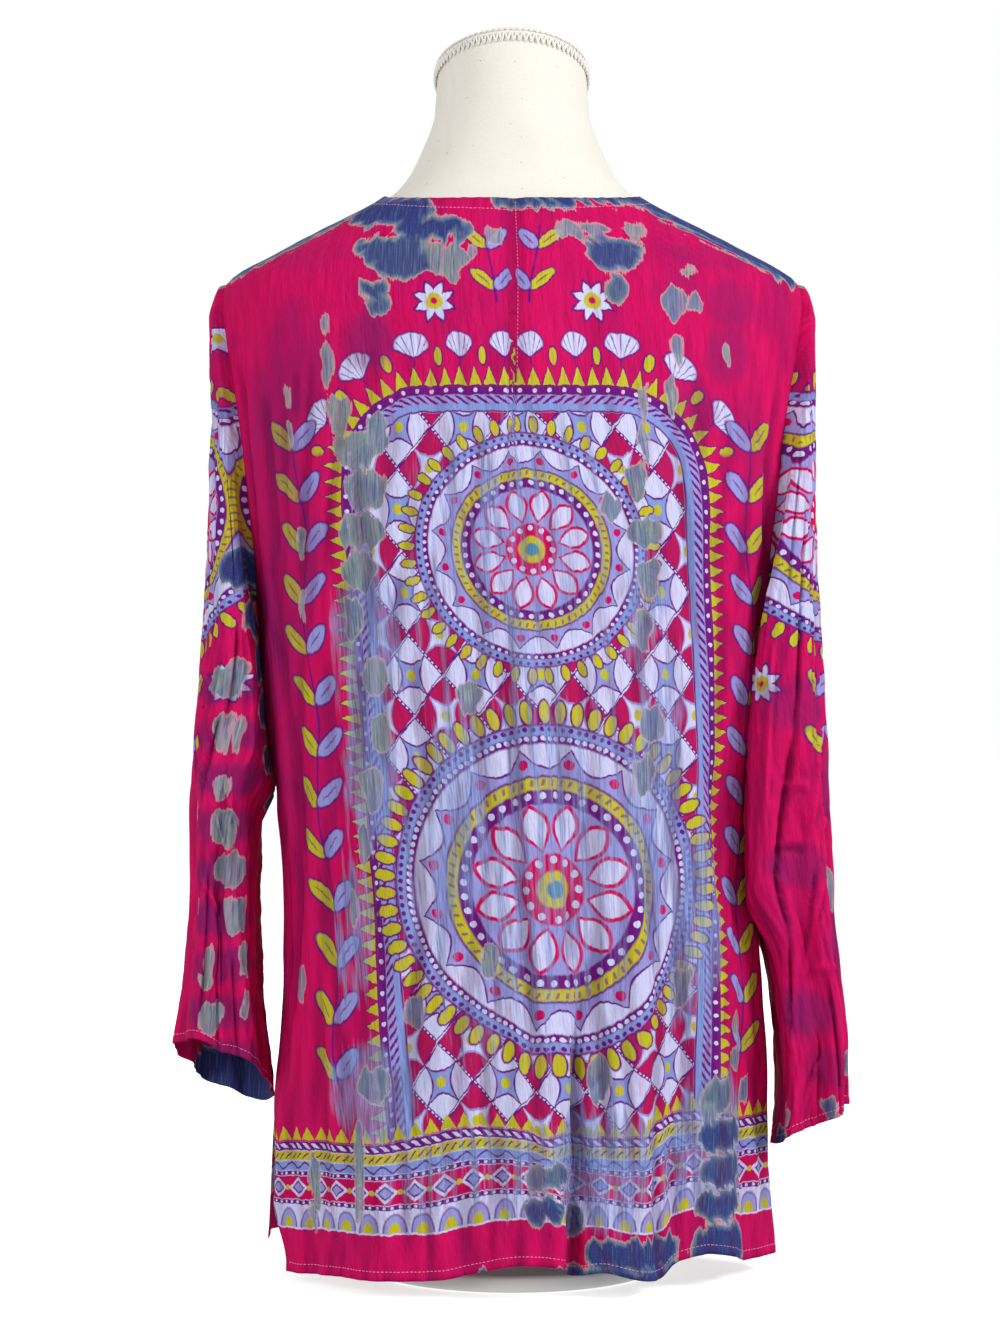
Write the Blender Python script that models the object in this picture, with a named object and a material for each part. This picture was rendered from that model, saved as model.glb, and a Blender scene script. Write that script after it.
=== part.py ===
"""A loose long-sleeved tunic worn on a limbless dress form that stands on a round foot.

Blender 4.5, metres, +Z up. The garment faces -Y, so its back is at +Y, and the wearer's left is at +X.
The origin is the middle of the foot's underside.

Every panel is a sheet of points on one smooth surface of sections: at each height the section is an oval
with its own half width, back depth and front depth. The neckline, armholes, vents and hem are curves on
that surface, folds push its points in or out, and Solidify gives each sheet its wall, on its inner side.
"""

import math

import bmesh
import bpy
import numpy as np
from mathutils import Matrix

MM = 0.001

# Cloth and seams, in millimetres.
WALL = 1.2            # thickness of the cloth walls
SEAM_GAP = 0.3        # space between two pieces at a seam
SIDE_GAP = 0.55       # space between back and front along the shoulder and side seams
TIP_GAP = 1.0         # space between back and front at the shoulder tip, where both turn the corner
SEAM_LAP = 0.75       # how far a sleeve's edge stands off the panels where it folds down over them
SLEEVE_CLEAR = 1.9    # space between a hanging sleeve and the panel it lies against

# Tunic, in millimetres above the floor.
NECK_SIDE = 781       # neckline at the shoulder seam
NECK_BACK = 770       # neckline at the centre back
NECK_FRONT = 702      # neckline at the centre front
SHOULDER_TIP = 717    # outer end of the shoulder seam, the top of the armhole
UNDERARM = 485        # bottom of the armhole, the top of the side seam
ARMHOLE_HALF_DEPTH = 40
VENT_TOP = 150        # the side seams end here and the panels hang apart below

# Dress form and foot.
NECK_CUT = 869        # height of the neck's slanting top cut at its middle
NECK_CUT_RISE = 22    # how much higher the cut is at the back than in the middle
CAP_RISE = 13
TORSO_BOTTOM = 85
POST_RADIUS = 16
FOOT_RADIUS = 110
FOOT_HEIGHT = 12
FOOT_BEVEL = 3

# Mesh density. The panels' rows and a sleeve's columns meet at the same points of the armhole.
BACK_COLUMNS = 40
FRONT_COLUMNS = 30
SHOULDER_ROWS = 3
ARMHOLE_ROWS = 10
LOWER_ROWS = 12
FORM_COLUMNS = 32

# Outside of the worn cloth: an oval for each height. shift moves the oval towards the left (+) or right (-).
CLOTH_SECTIONS = {
    "height":     [0, 80, 150, 205, 240, 285, 345, 375, 420, 485, 560, 620,
                   660, 690, 705, 718, 728, 738, 748, 758, 768, 778, 790],
    "half_width": [184, 180, 176.5, 174.5, 173, 169.5, 172, 178, 183, 187, 202, 211,
                   216, 217, 214, 207, 192, 173, 154.5, 135, 115, 96, 82],
    "back":       [140, 135, 130, 127, 125, 123, 121, 120.5, 120, 119, 118, 115,
                   110, 102, 98, 93, 88, 83, 77, 71.5, 66.5, 61.5, 58],
    "front":      [143, 140, 137, 135, 134, 133, 132, 132, 133, 134, 134, 122,
                   105, 91, 85, 78, 72, 66, 60.5, 56, 52.5, 50, 49],
    "shift":      [-4, -4, -5.5, -7, -6, -2, 0, 0, 0, 0, 0, 0,
                   0, 0, 0, 0, 0, 0, 0, 0, 0, 0, 0],
}
# A plain general figure. mid is where the section is widest, from the back (+) to the front (-).
FORM_SECTIONS = {
    "height":     [85, 92, 110, 175, 270, 375, 470, 550, 610, 660, 700,
                   720, 735, 745, 755, 765, 778, 793, 815, 841, 863, 895],
    "half_width": [134, 142, 148, 160, 146, 122, 138, 154, 164, 178, 188,
                   182, 168, 154, 136.5, 117, 91.5, 77, 66, 57, 55, 55],
    "back":       [84, 90, 94, 102, 94, 80, 92, 102, 106, 103, 94,
                   86, 78, 73, 68, 63.5, 58, 54, 52, 51, 51, 51],
    "front":      [80, 86, 90, 96, 92, 86, 104, 125, 116, 97, 79,
                   69, 62, 57, 53, 50, 47, 46, 48, 50, 51, 51],
    "mid":        [0, 0, 0, 0, 0, 0, 0, 0, 0, 0, 0,
                   0, 0, 0, 0, 0, 0, -2, -6, -10, -14, -18],
}
FORM_ROWS = [85, 92, 110, 140, 175, 222, 270, 322, 375, 422, 470, 510, 550, 580, 610,
             635, 660, 682, 700, 712, 722, 732, 742, 752, 762, 772, 783, 798, 818, 842]

# Hem line of each panel: angle round the body from its left side seam, and height.
BACK_HEM = {
    "angle":  [0, 30, 45, 60, 72, 81, 92, 100, 104, 109, 116, 123, 129, 136, 145, 156, 180],
    "height": [8, 7, 10, 11, 13, 19, 26, 21, 14, 18, 13, 11, 20, 25, 20, 13, 14],
}
FRONT_HEM = {
    "angle":  [0, 18, 36, 55, 75, 95, 112, 130, 148, 165, 180],
    "height": [17, 19, 14, 12, 15, 12, 14, 11, 15, 18, 16],
}
# How far each panel's edge swings away from the side line at the hem, in degrees, where the vents open.
VENT_SWING = {"back_left": 27, "back_right": 3, "front_left": 3, "front_right": 10}

# Folds that hang in the panels: angle, half width in degrees, height out (+) or in (-) in millimetres at the
# hem, and the height on the body where the fold begins.
BACK_FOLDS = [
    {"angle": 22, "spread": 7, "out": 6, "top": 470},
    {"angle": 37, "spread": 6, "out": -5, "top": 380},
    {"angle": 57, "spread": 9, "out": 5, "top": 330},
    {"angle": 78, "spread": 9, "out": -4, "top": 300},
    {"angle": 92, "spread": 7, "out": 9, "top": 620},
    {"angle": 104, "spread": 6, "out": -15, "top": 420},
    {"angle": 116, "spread": 7, "out": 9, "top": 400},
    {"angle": 129, "spread": 6, "out": -8, "top": 340},
    {"angle": 142, "spread": 7, "out": 8, "top": 430},
    {"angle": 156, "spread": 6, "out": -6, "top": 380},
    {"angle": 169, "spread": 6, "out": 5, "top": 470},
]
FRONT_FOLDS = [
    {"angle": 14, "spread": 7, "out": 5, "top": 460},
    {"angle": 33, "spread": 9, "out": -8, "top": 430},
    {"angle": 54, "spread": 9, "out": 8, "top": 520},
    {"angle": 75, "spread": 8, "out": -6, "top": 380},
    {"angle": 95, "spread": 9, "out": 6, "top": 400},
    {"angle": 115, "spread": 9, "out": -8, "top": 450},
    {"angle": 134, "spread": 9, "out": 8, "top": 520},
    {"angle": 153, "spread": 8, "out": -7, "top": 420},
    {"angle": 168, "spread": 6, "out": 4, "top": 460},
]
# The pleat at the centre back is stitched shut from the neckline down to here and opens below.
PLEAT = {"angle": 91, "spread": 2.6, "depth": 3.0, "stitched_to": 634, "gone_at": 430}

# A sleeve's outer and inner line, from the armhole to the cuff, its half depth from front to back, how square
# its section is (0 is an oval) and how much lower the cuff's front edge is than its middle. Where the inner
# line would run through the body, the sleeve lies against it.
SLEEVES = {
    "left": {
        "along":   [0, 0.04, 0.09, 0.15, 0.24, 0.38, 0.46, 0.55, 0.65, 0.8, 1],
        "outer_x": [207, 212.5, 216, 218, 218.5, 221.5, 224, 228.5, 233, 235.5, 246],
        "outer_z": [717, 712, 698, 674, 624, 534, 484, 424, 355, 262, 157],
        "inner_x": [188, 190.8, 190, 187, 180, 174, 172.5, 184.5, 185, 183, 174],
        "inner_z": [485, 483, 474, 462, 436, 382, 350, 318, 272, 208, 127],
        "half_y":  [40, 45, 49, 53, 57, 62, 64, 65, 65, 64, 62],
        "square":  0.0,
        "front_drop": 24,
    },
    "right": {
        "along":   [0, 0.04, 0.09, 0.15, 0.24, 0.38, 0.55, 0.66, 0.75, 0.9, 1],
        "outer_x": [207, 213, 217, 218.5, 219.5, 220.5, 226.5, 230.5, 233.5, 243, 244],
        "outer_z": [717, 712, 698, 674, 620, 524, 404, 330, 262, 160, 118],
        "inner_x": [188, 190.8, 188, 182, 172, 165, 165, 165, 187, 195, 192],
        "inner_z": [485, 483, 474, 462, 434, 372, 304, 268, 220, 138, 88],
        "half_y":  [40, 45, 50, 55, 61, 67, 68, 67, 65, 63, 62],
        "square":  0.3,
        "front_drop": 8,
    },
}
# Folds along the sleeves: angle round the tube from its outer line towards the back, half width in degrees,
# height out (+) or in (-) at the cuff, and where along the sleeve the fold begins.
SLEEVE_FOLDS = [
    {"angle": 36, "spread": 17, "out": -6, "begins": 0.15},
    {"angle": 66, "spread": 16, "out": 5, "begins": 0.20},
    {"angle": 92, "spread": 17, "out": -9, "begins": 0.20},
    {"angle": 124, "spread": 18, "out": 5, "begins": 0.30},
    {"angle": 234, "spread": 18, "out": 5, "begins": 0.30},
    {"angle": 270, "spread": 18, "out": -9, "begins": 0.22},
    {"angle": 300, "spread": 16, "out": 5, "begins": 0.20},
    {"angle": 328, "spread": 17, "out": -5, "begins": 0.18},
]
SLEEVE_FADE = 0.30    # share of the sleeve over which its tube leaves the armhole's exact shape
SLEEVE_STATIONS = [0, 0.02, 0.045, 0.075, 0.11, 0.15, 0.2, 0.26, 0.32, 0.38,
                   0.44, 0.5, 0.56, 0.62, 0.69, 0.77, 0.86, 0.94, 1]

MATERIALS = {
    "cloth_magenta": {"color": (0.62, 0.02, 0.16), "roughness": 0.85, "metallic": 0.0},
    "form_linen": {"color": (0.86, 0.84, 0.80), "roughness": 0.9, "metallic": 0.0},
    "foot_white": {"color": (0.85, 0.85, 0.84), "roughness": 0.4, "metallic": 0.0},
}


def smooth_table(xs, ys, x):
    """Values of a smooth curve through the points (xs, ys), which never swings past a point of the table."""
    xs = np.asarray(xs, float)
    ys = np.asarray(ys, float)
    step = np.diff(xs)
    slope = np.diff(ys) / step
    tangent = np.zeros_like(ys)
    same_way = slope[:-1] * slope[1:] > 0
    mean = 2 * slope[:-1] * slope[1:] / np.where(same_way, slope[:-1] + slope[1:], 1)
    tangent[1:-1] = np.where(same_way, mean, 0)
    tangent[0], tangent[-1] = slope[0], slope[-1]
    x = np.clip(x, xs[0], xs[-1])
    i = np.clip(np.searchsorted(xs, x, side="right") - 1, 0, len(step) - 1)
    t = (x - xs[i]) / step[i]
    rise = ys[i + 1] - ys[i]
    return (ys[i] + rise * t * t * (3 - 2 * t)
            + step[i] * (tangent[i] * t * (1 - t) ** 2 - tangent[i + 1] * t * t * (1 - t)))


def ease(t):
    """0 below 0, 1 above 1 and a smooth rise between."""
    t = np.clip(t, 0, 1)
    return t * t * (3 - 2 * t)


def bump(distance, spread):
    """1 in the middle of a fold and 0 from its half width on."""
    t = np.clip(np.abs(distance) / spread, 0, 1)
    return (1 - t * t) ** 2


def oval(sections, angle, height):
    """A point of the surface of sections, in millimetres. The angle runs from +X over the back, +Y, to -X."""
    half_width = smooth_table(sections["height"], sections["half_width"], height)
    back = smooth_table(sections["height"], sections["back"], height)
    front = smooth_table(sections["height"], sections["front"], height)
    mid = smooth_table(sections["height"], sections.get("mid", [0] * len(sections["height"])), height)
    shift = smooth_table(sections["height"], sections.get("shift", [0] * len(sections["height"])), height)
    depth = np.where(np.sin(angle) >= 0, back, front)
    return np.stack([shift + half_width * np.cos(angle), mid + depth * np.sin(angle), height + 0 * angle], -1)


def armhole_edge(height, depth):
    """Angle from the side line at which a panel of that section depth ends, at a height of the armhole."""
    middle = (SHOULDER_TIP + UNDERARM) / 2
    half_height = (SHOULDER_TIP - UNDERARM) / 2
    inside = np.clip(1 - ((height - middle) / half_height) ** 2, 0, 1)
    return np.arcsin(ARMHOLE_HALF_DEPTH * np.sqrt(inside) / depth)


def fold_push(folds, degrees, height):
    """How far the hanging folds push the cloth out at these angles and heights."""
    push = np.zeros_like(degrees)
    for fold in folds:
        grown = ease((fold["top"] - height) / fold["top"]) * 0.65 + 0.35 * ease((fold["top"] - height) / 120)
        push += fold["out"] * grown * bump(degrees - fold["angle"], fold["spread"])
    return push


def pleat_push(degrees, height):
    """The centre-back pleat: a narrow valley from the neckline that widens and fades below its stitching."""
    below = ease((PLEAT["stitched_to"] - height) / (PLEAT["stitched_to"] - PLEAT["gone_at"]))
    spread = PLEAT["spread"] * (1 + 2.5 * below)
    return -PLEAT["depth"] * (1 - below) * bump(degrees - PLEAT["angle"], spread)


def armhole_heights():
    """Heights down the armhole, closer together at its top and bottom, where it turns."""
    middle = (SHOULDER_TIP + UNDERARM) / 2
    return middle + (SHOULDER_TIP - UNDERARM) / 2 * np.cos(np.linspace(0, math.pi, ARMHOLE_ROWS + 1))


def panel_grid(side, columns):
    """Outer points of the back or front panel, one row after another from the neckline to the hem."""
    is_back = side == "back"
    shoulder = np.linspace(NECK_SIDE, SHOULDER_TIP, SHOULDER_ROWS + 1)
    side_heights = np.concatenate([shoulder, armhole_heights()[1:]])
    upper = len(side_heights)
    centre_heights = np.linspace(NECK_BACK if is_back else NECK_FRONT, UNDERARM, upper)
    dip = 1 if is_back else 1.6
    hem = BACK_HEM if is_back else FRONT_HEM
    share = np.linspace(0, 1, columns + 1)
    grid = []
    for row in range(upper + LOWER_ROWS):
        down = max(0, row - upper + 1) / LOWER_ROWS
        side_height = side_heights[min(row, upper - 1)]
        edge_depth = smooth_table(CLOTH_SECTIONS["height"], CLOTH_SECTIONS[side], side_height)
        seam = (TIP_GAP if row == SHOULDER_ROWS else SIDE_GAP) / 2 / edge_depth
        if row < upper:
            first = last = max(float(armhole_edge(side_height, edge_depth)), seam)
        else:
            swing = ease((VENT_TOP - UNDERARM * (1 - down)) / VENT_TOP)
            first = seam + math.radians(VENT_SWING[side + "_left"]) * swing
            last = seam + math.radians(VENT_SWING[side + "_right"]) * swing
        angle = first + (math.pi - first - last) * share
        degrees = np.degrees(angle)
        if row < upper:
            height = side_height + (centre_heights[row] - side_height) * np.sin(math.pi * share) ** dip
        else:
            hem_height = smooth_table(hem["angle"], hem["height"], degrees)
            height = UNDERARM + (hem_height - UNDERARM) * down
        point = oval(CLOTH_SECTIONS, angle if is_back else -angle, height)
        push = fold_push(BACK_FOLDS if is_back else FRONT_FOLDS, degrees, height)
        if is_back:
            push = push + pleat_push(degrees, height)
        radius = np.hypot(point[:, 0], point[:, 1])
        point[:, :2] *= (1 + push / radius)[:, None]
        grid.append(point)
    return np.array(grid)


def armhole_loop():
    """The armhole's edge on the left side, from its top over the back to the bottom and up the front."""
    turn = np.linspace(0, 2 * math.pi, 2 * ARMHOLE_ROWS, endpoint=False)
    down = armhole_heights()
    height = np.concatenate([down, down[-2:0:-1]])
    across = ARMHOLE_HALF_DEPTH * np.sin(turn)
    half_width = smooth_table(CLOTH_SECTIONS["height"], CLOTH_SECTIONS["half_width"], height)
    depth = np.where(across >= 0, smooth_table(CLOTH_SECTIONS["height"], CLOTH_SECTIONS["back"], height),
                     smooth_table(CLOTH_SECTIONS["height"], CLOTH_SECTIONS["front"], height))
    sine = across / depth
    cosine = np.sqrt(1 - sine ** 2)
    loop = np.stack([half_width * cosine, across, height], -1)
    outward = np.stack([cosine / half_width, sine / depth, 0 * turn], -1)
    outward /= np.linalg.norm(outward, axis=1)[:, None]
    return turn, loop, outward


def side_of_body(side, across, height):
    """How far from the middle plane a body panel reaches, at points of its side given by Y and height."""
    at = {name: smooth_table(CLOTH_SECTIONS["height"], CLOTH_SECTIONS[name], height)
          for name in ("half_width", "back", "front", "shift")}
    sine = across / np.where(across >= 0, at["back"], at["front"])
    degrees = np.degrees(np.arcsin(np.abs(sine)))
    if side == "right":
        degrees = 180 - degrees
    back_push = fold_push(BACK_FOLDS, degrees, height)
    push = np.where(across >= 0, back_push, fold_push(FRONT_FOLDS, degrees, height))
    shift = at["shift"] if side == "left" else -at["shift"]
    return shift + at["half_width"] * np.sqrt(1 - sine ** 2) + np.maximum(push, 0) * 1.1


def sleeve_grid(side):
    """Outer points of a sleeve, drawn on the left side, ring after ring from the armhole to the cuff."""
    shape = SLEEVES[side]
    turn, loop, outward = armhole_loop()
    lap = ease((1 - np.cos(turn)) / 0.9)[:, None]
    start = loop + outward * (WALL + SEAM_LAP) * lap
    start[:, 0] += SEAM_GAP * 1.2
    power = 1 - shape["square"]
    cosine = np.sign(np.cos(turn)) * np.abs(np.cos(turn)) ** power
    sine = np.sign(np.sin(turn)) * np.abs(np.sin(turn)) ** power
    grid = []
    for along in SLEEVE_STATIONS:
        at = {name: float(smooth_table(shape["along"], shape[name], along))
              for name in ("outer_x", "outer_z", "inner_x", "inner_z", "half_y")}
        middle_x = (at["outer_x"] + at["inner_x"]) / 2
        middle_z = (at["outer_z"] + at["inner_z"]) / 2
        half_x = (at["outer_x"] - at["inner_x"]) / 2
        push = np.zeros_like(turn)
        for fold in SLEEVE_FOLDS:
            away = (np.degrees(turn) - fold["angle"] + 180) % 360 - 180
            grown = ease((along - fold["begins"]) / (1 - fold["begins"]))
            push += fold["out"] * grown * bump(away, fold["spread"])
        across = (at["half_y"] + push) * sine
        droop = shape["front_drop"] * along ** 3 * across / at["half_y"]
        ring = np.stack([middle_x + (half_x + push) * cosine, across,
                         middle_z + (at["outer_z"] - at["inner_z"]) / 2 * np.cos(turn) + droop], -1)
        if along == 0:
            leaving = start - ring
        ring += leaving * (1 - ease(along / SLEEVE_FADE)) ** 2
        if along > 0:
            clear = 2 * WALL + SLEEVE_CLEAR
            ring[:, 0] = np.maximum(ring[:, 0], side_of_body(side, ring[:, 1], ring[:, 2]) + clear)
        grid.append(ring)
    return np.array(grid)


def form_grid():
    """Points of the form's torso and neck, ring after ring, ending at the slanting neck cut."""
    angle = np.linspace(0, 2 * math.pi, FORM_COLUMNS, endpoint=False)
    rings = [oval(FORM_SECTIONS, angle, height + 0 * angle) for height in FORM_ROWS]
    top = oval(FORM_SECTIONS, angle, NECK_CUT + NECK_CUT_RISE * np.sin(angle))
    top[:, 1] = neck_cut_oval(angle)[:, 1]
    below = (rings[-1] + top) / 2
    return np.array(rings + [below, top])


def neck_cut_oval(angle):
    """The flat oval of the neck cut: it rises towards the back, so its points lie on one slanting plane."""
    mid = smooth_table(FORM_SECTIONS["height"], FORM_SECTIONS["mid"], NECK_CUT)
    half_width = smooth_table(FORM_SECTIONS["height"], FORM_SECTIONS["half_width"], NECK_CUT)
    depth = smooth_table(FORM_SECTIONS["height"], FORM_SECTIONS["back"], NECK_CUT)
    return np.stack([half_width * np.cos(angle), mid + depth * np.sin(angle),
                     NECK_CUT + NECK_CUT_RISE * np.sin(angle)], -1)


def new_material(name):
    """A Principled material with the part's colour, roughness and metallic value."""
    values = MATERIALS[name]
    material = bpy.data.materials.get(name) or bpy.data.materials.new(name)
    material.use_nodes = True
    shader = material.node_tree.nodes["Principled BSDF"]
    shader.inputs["Base Color"].default_value = (*values["color"], 1)
    shader.inputs["Roughness"].default_value = values["roughness"]
    shader.inputs["Metallic"].default_value = values["metallic"]
    return material


def new_object(name, points, faces, material, parent):
    """An object from points in millimetres, shaded smooth, under the part's empty."""
    mesh = bpy.data.meshes.new(name)
    mesh.from_pydata((points * MM).tolist(), [], faces)
    mesh.shade_smooth()
    mesh.update()
    made = bpy.data.objects.new(name, mesh)
    made.data.materials.append(new_material(material))
    made.parent = parent
    bpy.context.scene.collection.objects.link(made)
    return made


def sheet_faces(rows, columns, around):
    """Quads of a grid of points. around joins the last column to the first."""
    faces = []
    for above in range(0, (rows - 1) * columns, columns):
        below = above + columns
        for here in range(columns if around else columns - 1):
            after = (here + 1) % columns
            faces.append((above + here, below + here, below + after, above + after))
    return faces


def cloth(name, grid, around, turned, parent):
    """A cloth piece: a sheet of points on its outside, walled inwards because its faces look in."""
    rows, columns = grid.shape[:2]
    faces = sheet_faces(rows, columns, around)
    if turned:
        faces = [tuple(reversed(face)) for face in faces]
    made = new_object(name, grid.reshape(-1, 3), faces, "cloth_magenta", parent)
    wall = made.modifiers.new("wall", "SOLIDIFY")
    wall.thickness = WALL * MM
    wall.offset = 1
    wall.use_even_offset = False
    return made


def closed_stack(name, grid, material, parent):
    """A solid from rings of points, bottom to top, closed by a flat face at each end."""
    rows, columns = grid.shape[:2]
    faces = [tuple(reversed(face)) for face in sheet_faces(rows, columns, True)]
    faces.append(tuple(reversed(range(columns))))
    faces.append(tuple(range((rows - 1) * columns, rows * columns)))
    return new_object(name, grid.reshape(-1, 3), faces, material, parent)


def neck_cap(parent):
    """The low domed disc that closes the neck, seated on the slanting cut."""
    angle = np.linspace(0, 2 * math.pi, FORM_COLUMNS, endpoint=False)
    rim = neck_cut_oval(angle)
    centre = rim.mean(0)
    profile = {"out": [1.0, 1.02, 0.97, 0.86, 0.66, 0.38], "up": [0, 0.22, 0.46, 0.7, 0.88, 0.98]}
    rings = []
    for out, up in zip(profile["out"], profile["up"]):
        ring = centre + (rim - centre) * out
        ring[:, 2] += SEAM_GAP * 1.2 + CAP_RISE * up
        rings.append(ring)
    return closed_stack("form_neck_cap", np.array(rings), "form_linen", parent)


def turned_disc(name, radius, low, high, bevel, parent):
    """A round piece on the Z axis with its two rims bevelled."""
    made_mesh = bmesh.new()
    bmesh.ops.create_cone(made_mesh, cap_ends=True, segments=32, radius1=radius * MM, radius2=radius * MM,
                          depth=(high - low) * MM, matrix=Matrix.Translation((0, 0, (low + high) / 2 * MM)))
    if bevel:
        rims = [edge for edge in made_mesh.edges if abs(edge.verts[0].co.z - edge.verts[1].co.z) < MM / 10]
        bmesh.ops.bevel(made_mesh, geom=rims, offset=bevel * MM, segments=2, profile=0.5, affect="EDGES")
    mesh = bpy.data.meshes.new(name)
    made_mesh.to_mesh(mesh)
    made_mesh.free()
    mesh.shade_smooth()
    mesh.set_sharp_from_angle(angle=math.radians(40))
    made = bpy.data.objects.new(name, mesh)
    made.data.materials.append(new_material("foot_white"))
    made.parent = parent
    bpy.context.scene.collection.objects.link(made)
    return made


def main():
    for old in list(bpy.data.objects):
        bpy.data.objects.remove(old, do_unlink=True)
    part = bpy.data.objects.new("tunic_on_form", None)
    bpy.context.scene.collection.objects.link(part)

    turned_disc("foot_plate", FOOT_RADIUS, 0, FOOT_HEIGHT, FOOT_BEVEL, part)
    turned_disc("foot_post", POST_RADIUS, FOOT_HEIGHT + SEAM_GAP, TORSO_BOTTOM - SEAM_GAP, 0, part)
    closed_stack("form_torso", form_grid(), "form_linen", part)
    neck_cap(part)

    cloth("back_panel", panel_grid("back", BACK_COLUMNS), False, True, part)
    cloth("front_panel", panel_grid("front", FRONT_COLUMNS), False, False, part)
    for side, across in (("left", 1), ("right", -1)):
        grid = sleeve_grid(side)
        grid[..., 0] *= across
        cloth("sleeve_" + side, grid, True, across > 0, part)


main()
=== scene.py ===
# %% [markdown]
# # A dyed and printed tunic on a dress form
#
# This lesson dresses a imported model of a long-sleeved tunic. The model gives the frame: each cloth panel, the dress
# form and its foot are already there as plain solids of the right size and place. Here every one of them gets a
# finer surface, worked out from the same few sizes, and a material made of nodes.
#
# The plain solids of the frame are kept, only hidden.

# %% Load the frame
import math

import bpy
import numpy as np
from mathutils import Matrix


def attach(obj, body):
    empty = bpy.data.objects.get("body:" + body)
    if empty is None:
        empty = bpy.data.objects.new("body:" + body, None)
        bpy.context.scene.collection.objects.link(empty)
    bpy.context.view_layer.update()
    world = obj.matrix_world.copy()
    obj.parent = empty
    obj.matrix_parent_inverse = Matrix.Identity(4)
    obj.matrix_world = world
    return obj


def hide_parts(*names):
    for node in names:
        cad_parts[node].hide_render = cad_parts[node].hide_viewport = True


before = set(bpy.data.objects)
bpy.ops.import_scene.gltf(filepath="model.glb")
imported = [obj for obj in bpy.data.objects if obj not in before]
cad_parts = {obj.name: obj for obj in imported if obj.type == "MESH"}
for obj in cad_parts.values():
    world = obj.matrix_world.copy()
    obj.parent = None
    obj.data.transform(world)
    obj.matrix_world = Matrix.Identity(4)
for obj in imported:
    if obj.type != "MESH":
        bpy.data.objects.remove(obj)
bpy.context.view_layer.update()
MM = 0.001
print("nodes:", ", ".join(sorted(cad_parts)))

# %% [markdown]
# ## The camera
#
# The picture to match was taken level, from behind, with a short telephoto lens. A point a metre wide at the
# camera's distance of 2.3 m covers 3143 / 2.3 pixels, so the lens follows from the sensor's long side and the
# image's long side. The frame's origin is the middle of the foot and the garment faces -Y, so the camera stands at
# +Y and looks along -Y.

# %% Camera
SENSOR = 36.0               # millimetres, along the image's long side
IMAGE_LONG_SIDE = 1333      # pixels
FOCAL_PIXELS = 3143         # pixels for each metre at one metre away
CAMERA_PLACE = (0.0088, 2.3, 0.437)

scene = bpy.context.scene
camera_data = bpy.data.cameras.new("camera_behind")
camera_data.sensor_width = SENSOR
camera_data.lens = SENSOR * FOCAL_PIXELS / IMAGE_LONG_SIDE
camera = bpy.data.objects.new("camera_behind", camera_data)
camera.location = CAMERA_PLACE
camera.rotation_euler = (math.radians(90), 0, math.radians(180))
scene.collection.objects.link(camera)
scene.camera = camera
scene.view_settings.view_transform = "Standard"
print("lens", round(camera_data.lens, 1), "mm")

# %% [markdown]
# ## Making meshes from grids of points
#
# Nearly every surface in this lesson is a grid: rows and columns of points worked out with numpy. One function
# turns a grid into a mesh. A tube joins its last column to its first, and its UV map still runs on over that
# joint, because UVs belong to the corners of the faces and not to the points.

# %% A grid of points becomes a mesh
def grid_corners(rows, columns, around):
    """Point numbers and grid places of each quad's four corners, as whole arrays."""
    last = columns if around else columns - 1
    row, column = np.meshgrid(np.arange(rows - 1), np.arange(last), indexing="ij")
    row, column = row.ravel(), column.ravel()
    corner_row = np.stack([row, row + 1, row + 1, row], -1)
    corner_column = np.stack([column, column, column + 1, column + 1], -1)
    return corner_row * columns + corner_column % columns, corner_row, corner_column


def new_piece(name, points, faces, material, smooth=True):
    """An object at the origin from an array of points in millimetres and an array of faces."""
    mesh = bpy.data.meshes.new(name)
    mesh.vertices.add(len(points))
    mesh.vertices.foreach_set("co", (points * MM).astype(np.float32).ravel())
    size = faces.shape[1]
    mesh.loops.add(faces.size)
    mesh.loops.foreach_set("vertex_index", faces.astype(np.int32).ravel())
    mesh.polygons.add(len(faces))
    mesh.polygons.foreach_set("loop_start", np.arange(0, faces.size, size, dtype=np.int32))
    mesh.update(calc_edges=True)
    mesh.validate()
    if smooth:
        mesh.shade_smooth()
    piece = bpy.data.objects.new(name, mesh)
    mesh.materials.append(material)
    scene.collection.objects.link(piece)
    return piece


def grid_piece(name, grid, material, around=False, flip=False, uv=None, dyes=None, folds=None):
    """A piece from a grid of points. uv has one column more than a tube's points. dyes and folds hold a value for
    each point."""
    rows, columns = grid.shape[:2]
    faces, corner_row, corner_column = grid_corners(rows, columns, around)
    if flip:
        faces, corner_row, corner_column = faces[:, ::-1], corner_row[:, ::-1], corner_column[:, ::-1]
    piece = new_piece(name, grid.reshape(-1, 3), faces, material)
    if uv is not None:
        layer = piece.data.uv_layers.new(name="cloth")
        layer.data.foreach_set("uv", uv[corner_row, corner_column].astype(np.float32).ravel())
    if dyes is not None:
        layer = piece.data.attributes.new("dyes", "FLOAT_VECTOR", "POINT")
        layer.data.foreach_set("vector", dyes.astype(np.float32).ravel())
        layer = piece.data.attributes.new("folds", "FLOAT", "POINT")
        layer.data.foreach_set("value", folds.astype(np.float32).ravel())
    return piece


def wall(piece, thickness):
    """Gives a sheet its thickness, inwards from its points."""
    made = piece.modifiers.new("wall", "SOLIDIFY")
    made.thickness = thickness * MM
    made.offset = -1
    made.use_even_offset = False


def normals_of(grid, around=False):
    """Unit normals of a grid: the cross product of its steps along a row and down a column."""
    if around:
        across = np.roll(grid, -1, 1) - np.roll(grid, 1, 1)
    else:
        across = np.gradient(grid, axis=1)
    normal = np.cross(np.gradient(grid, axis=0), across)
    return normal / np.linalg.norm(normal, axis=2, keepdims=True)

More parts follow.
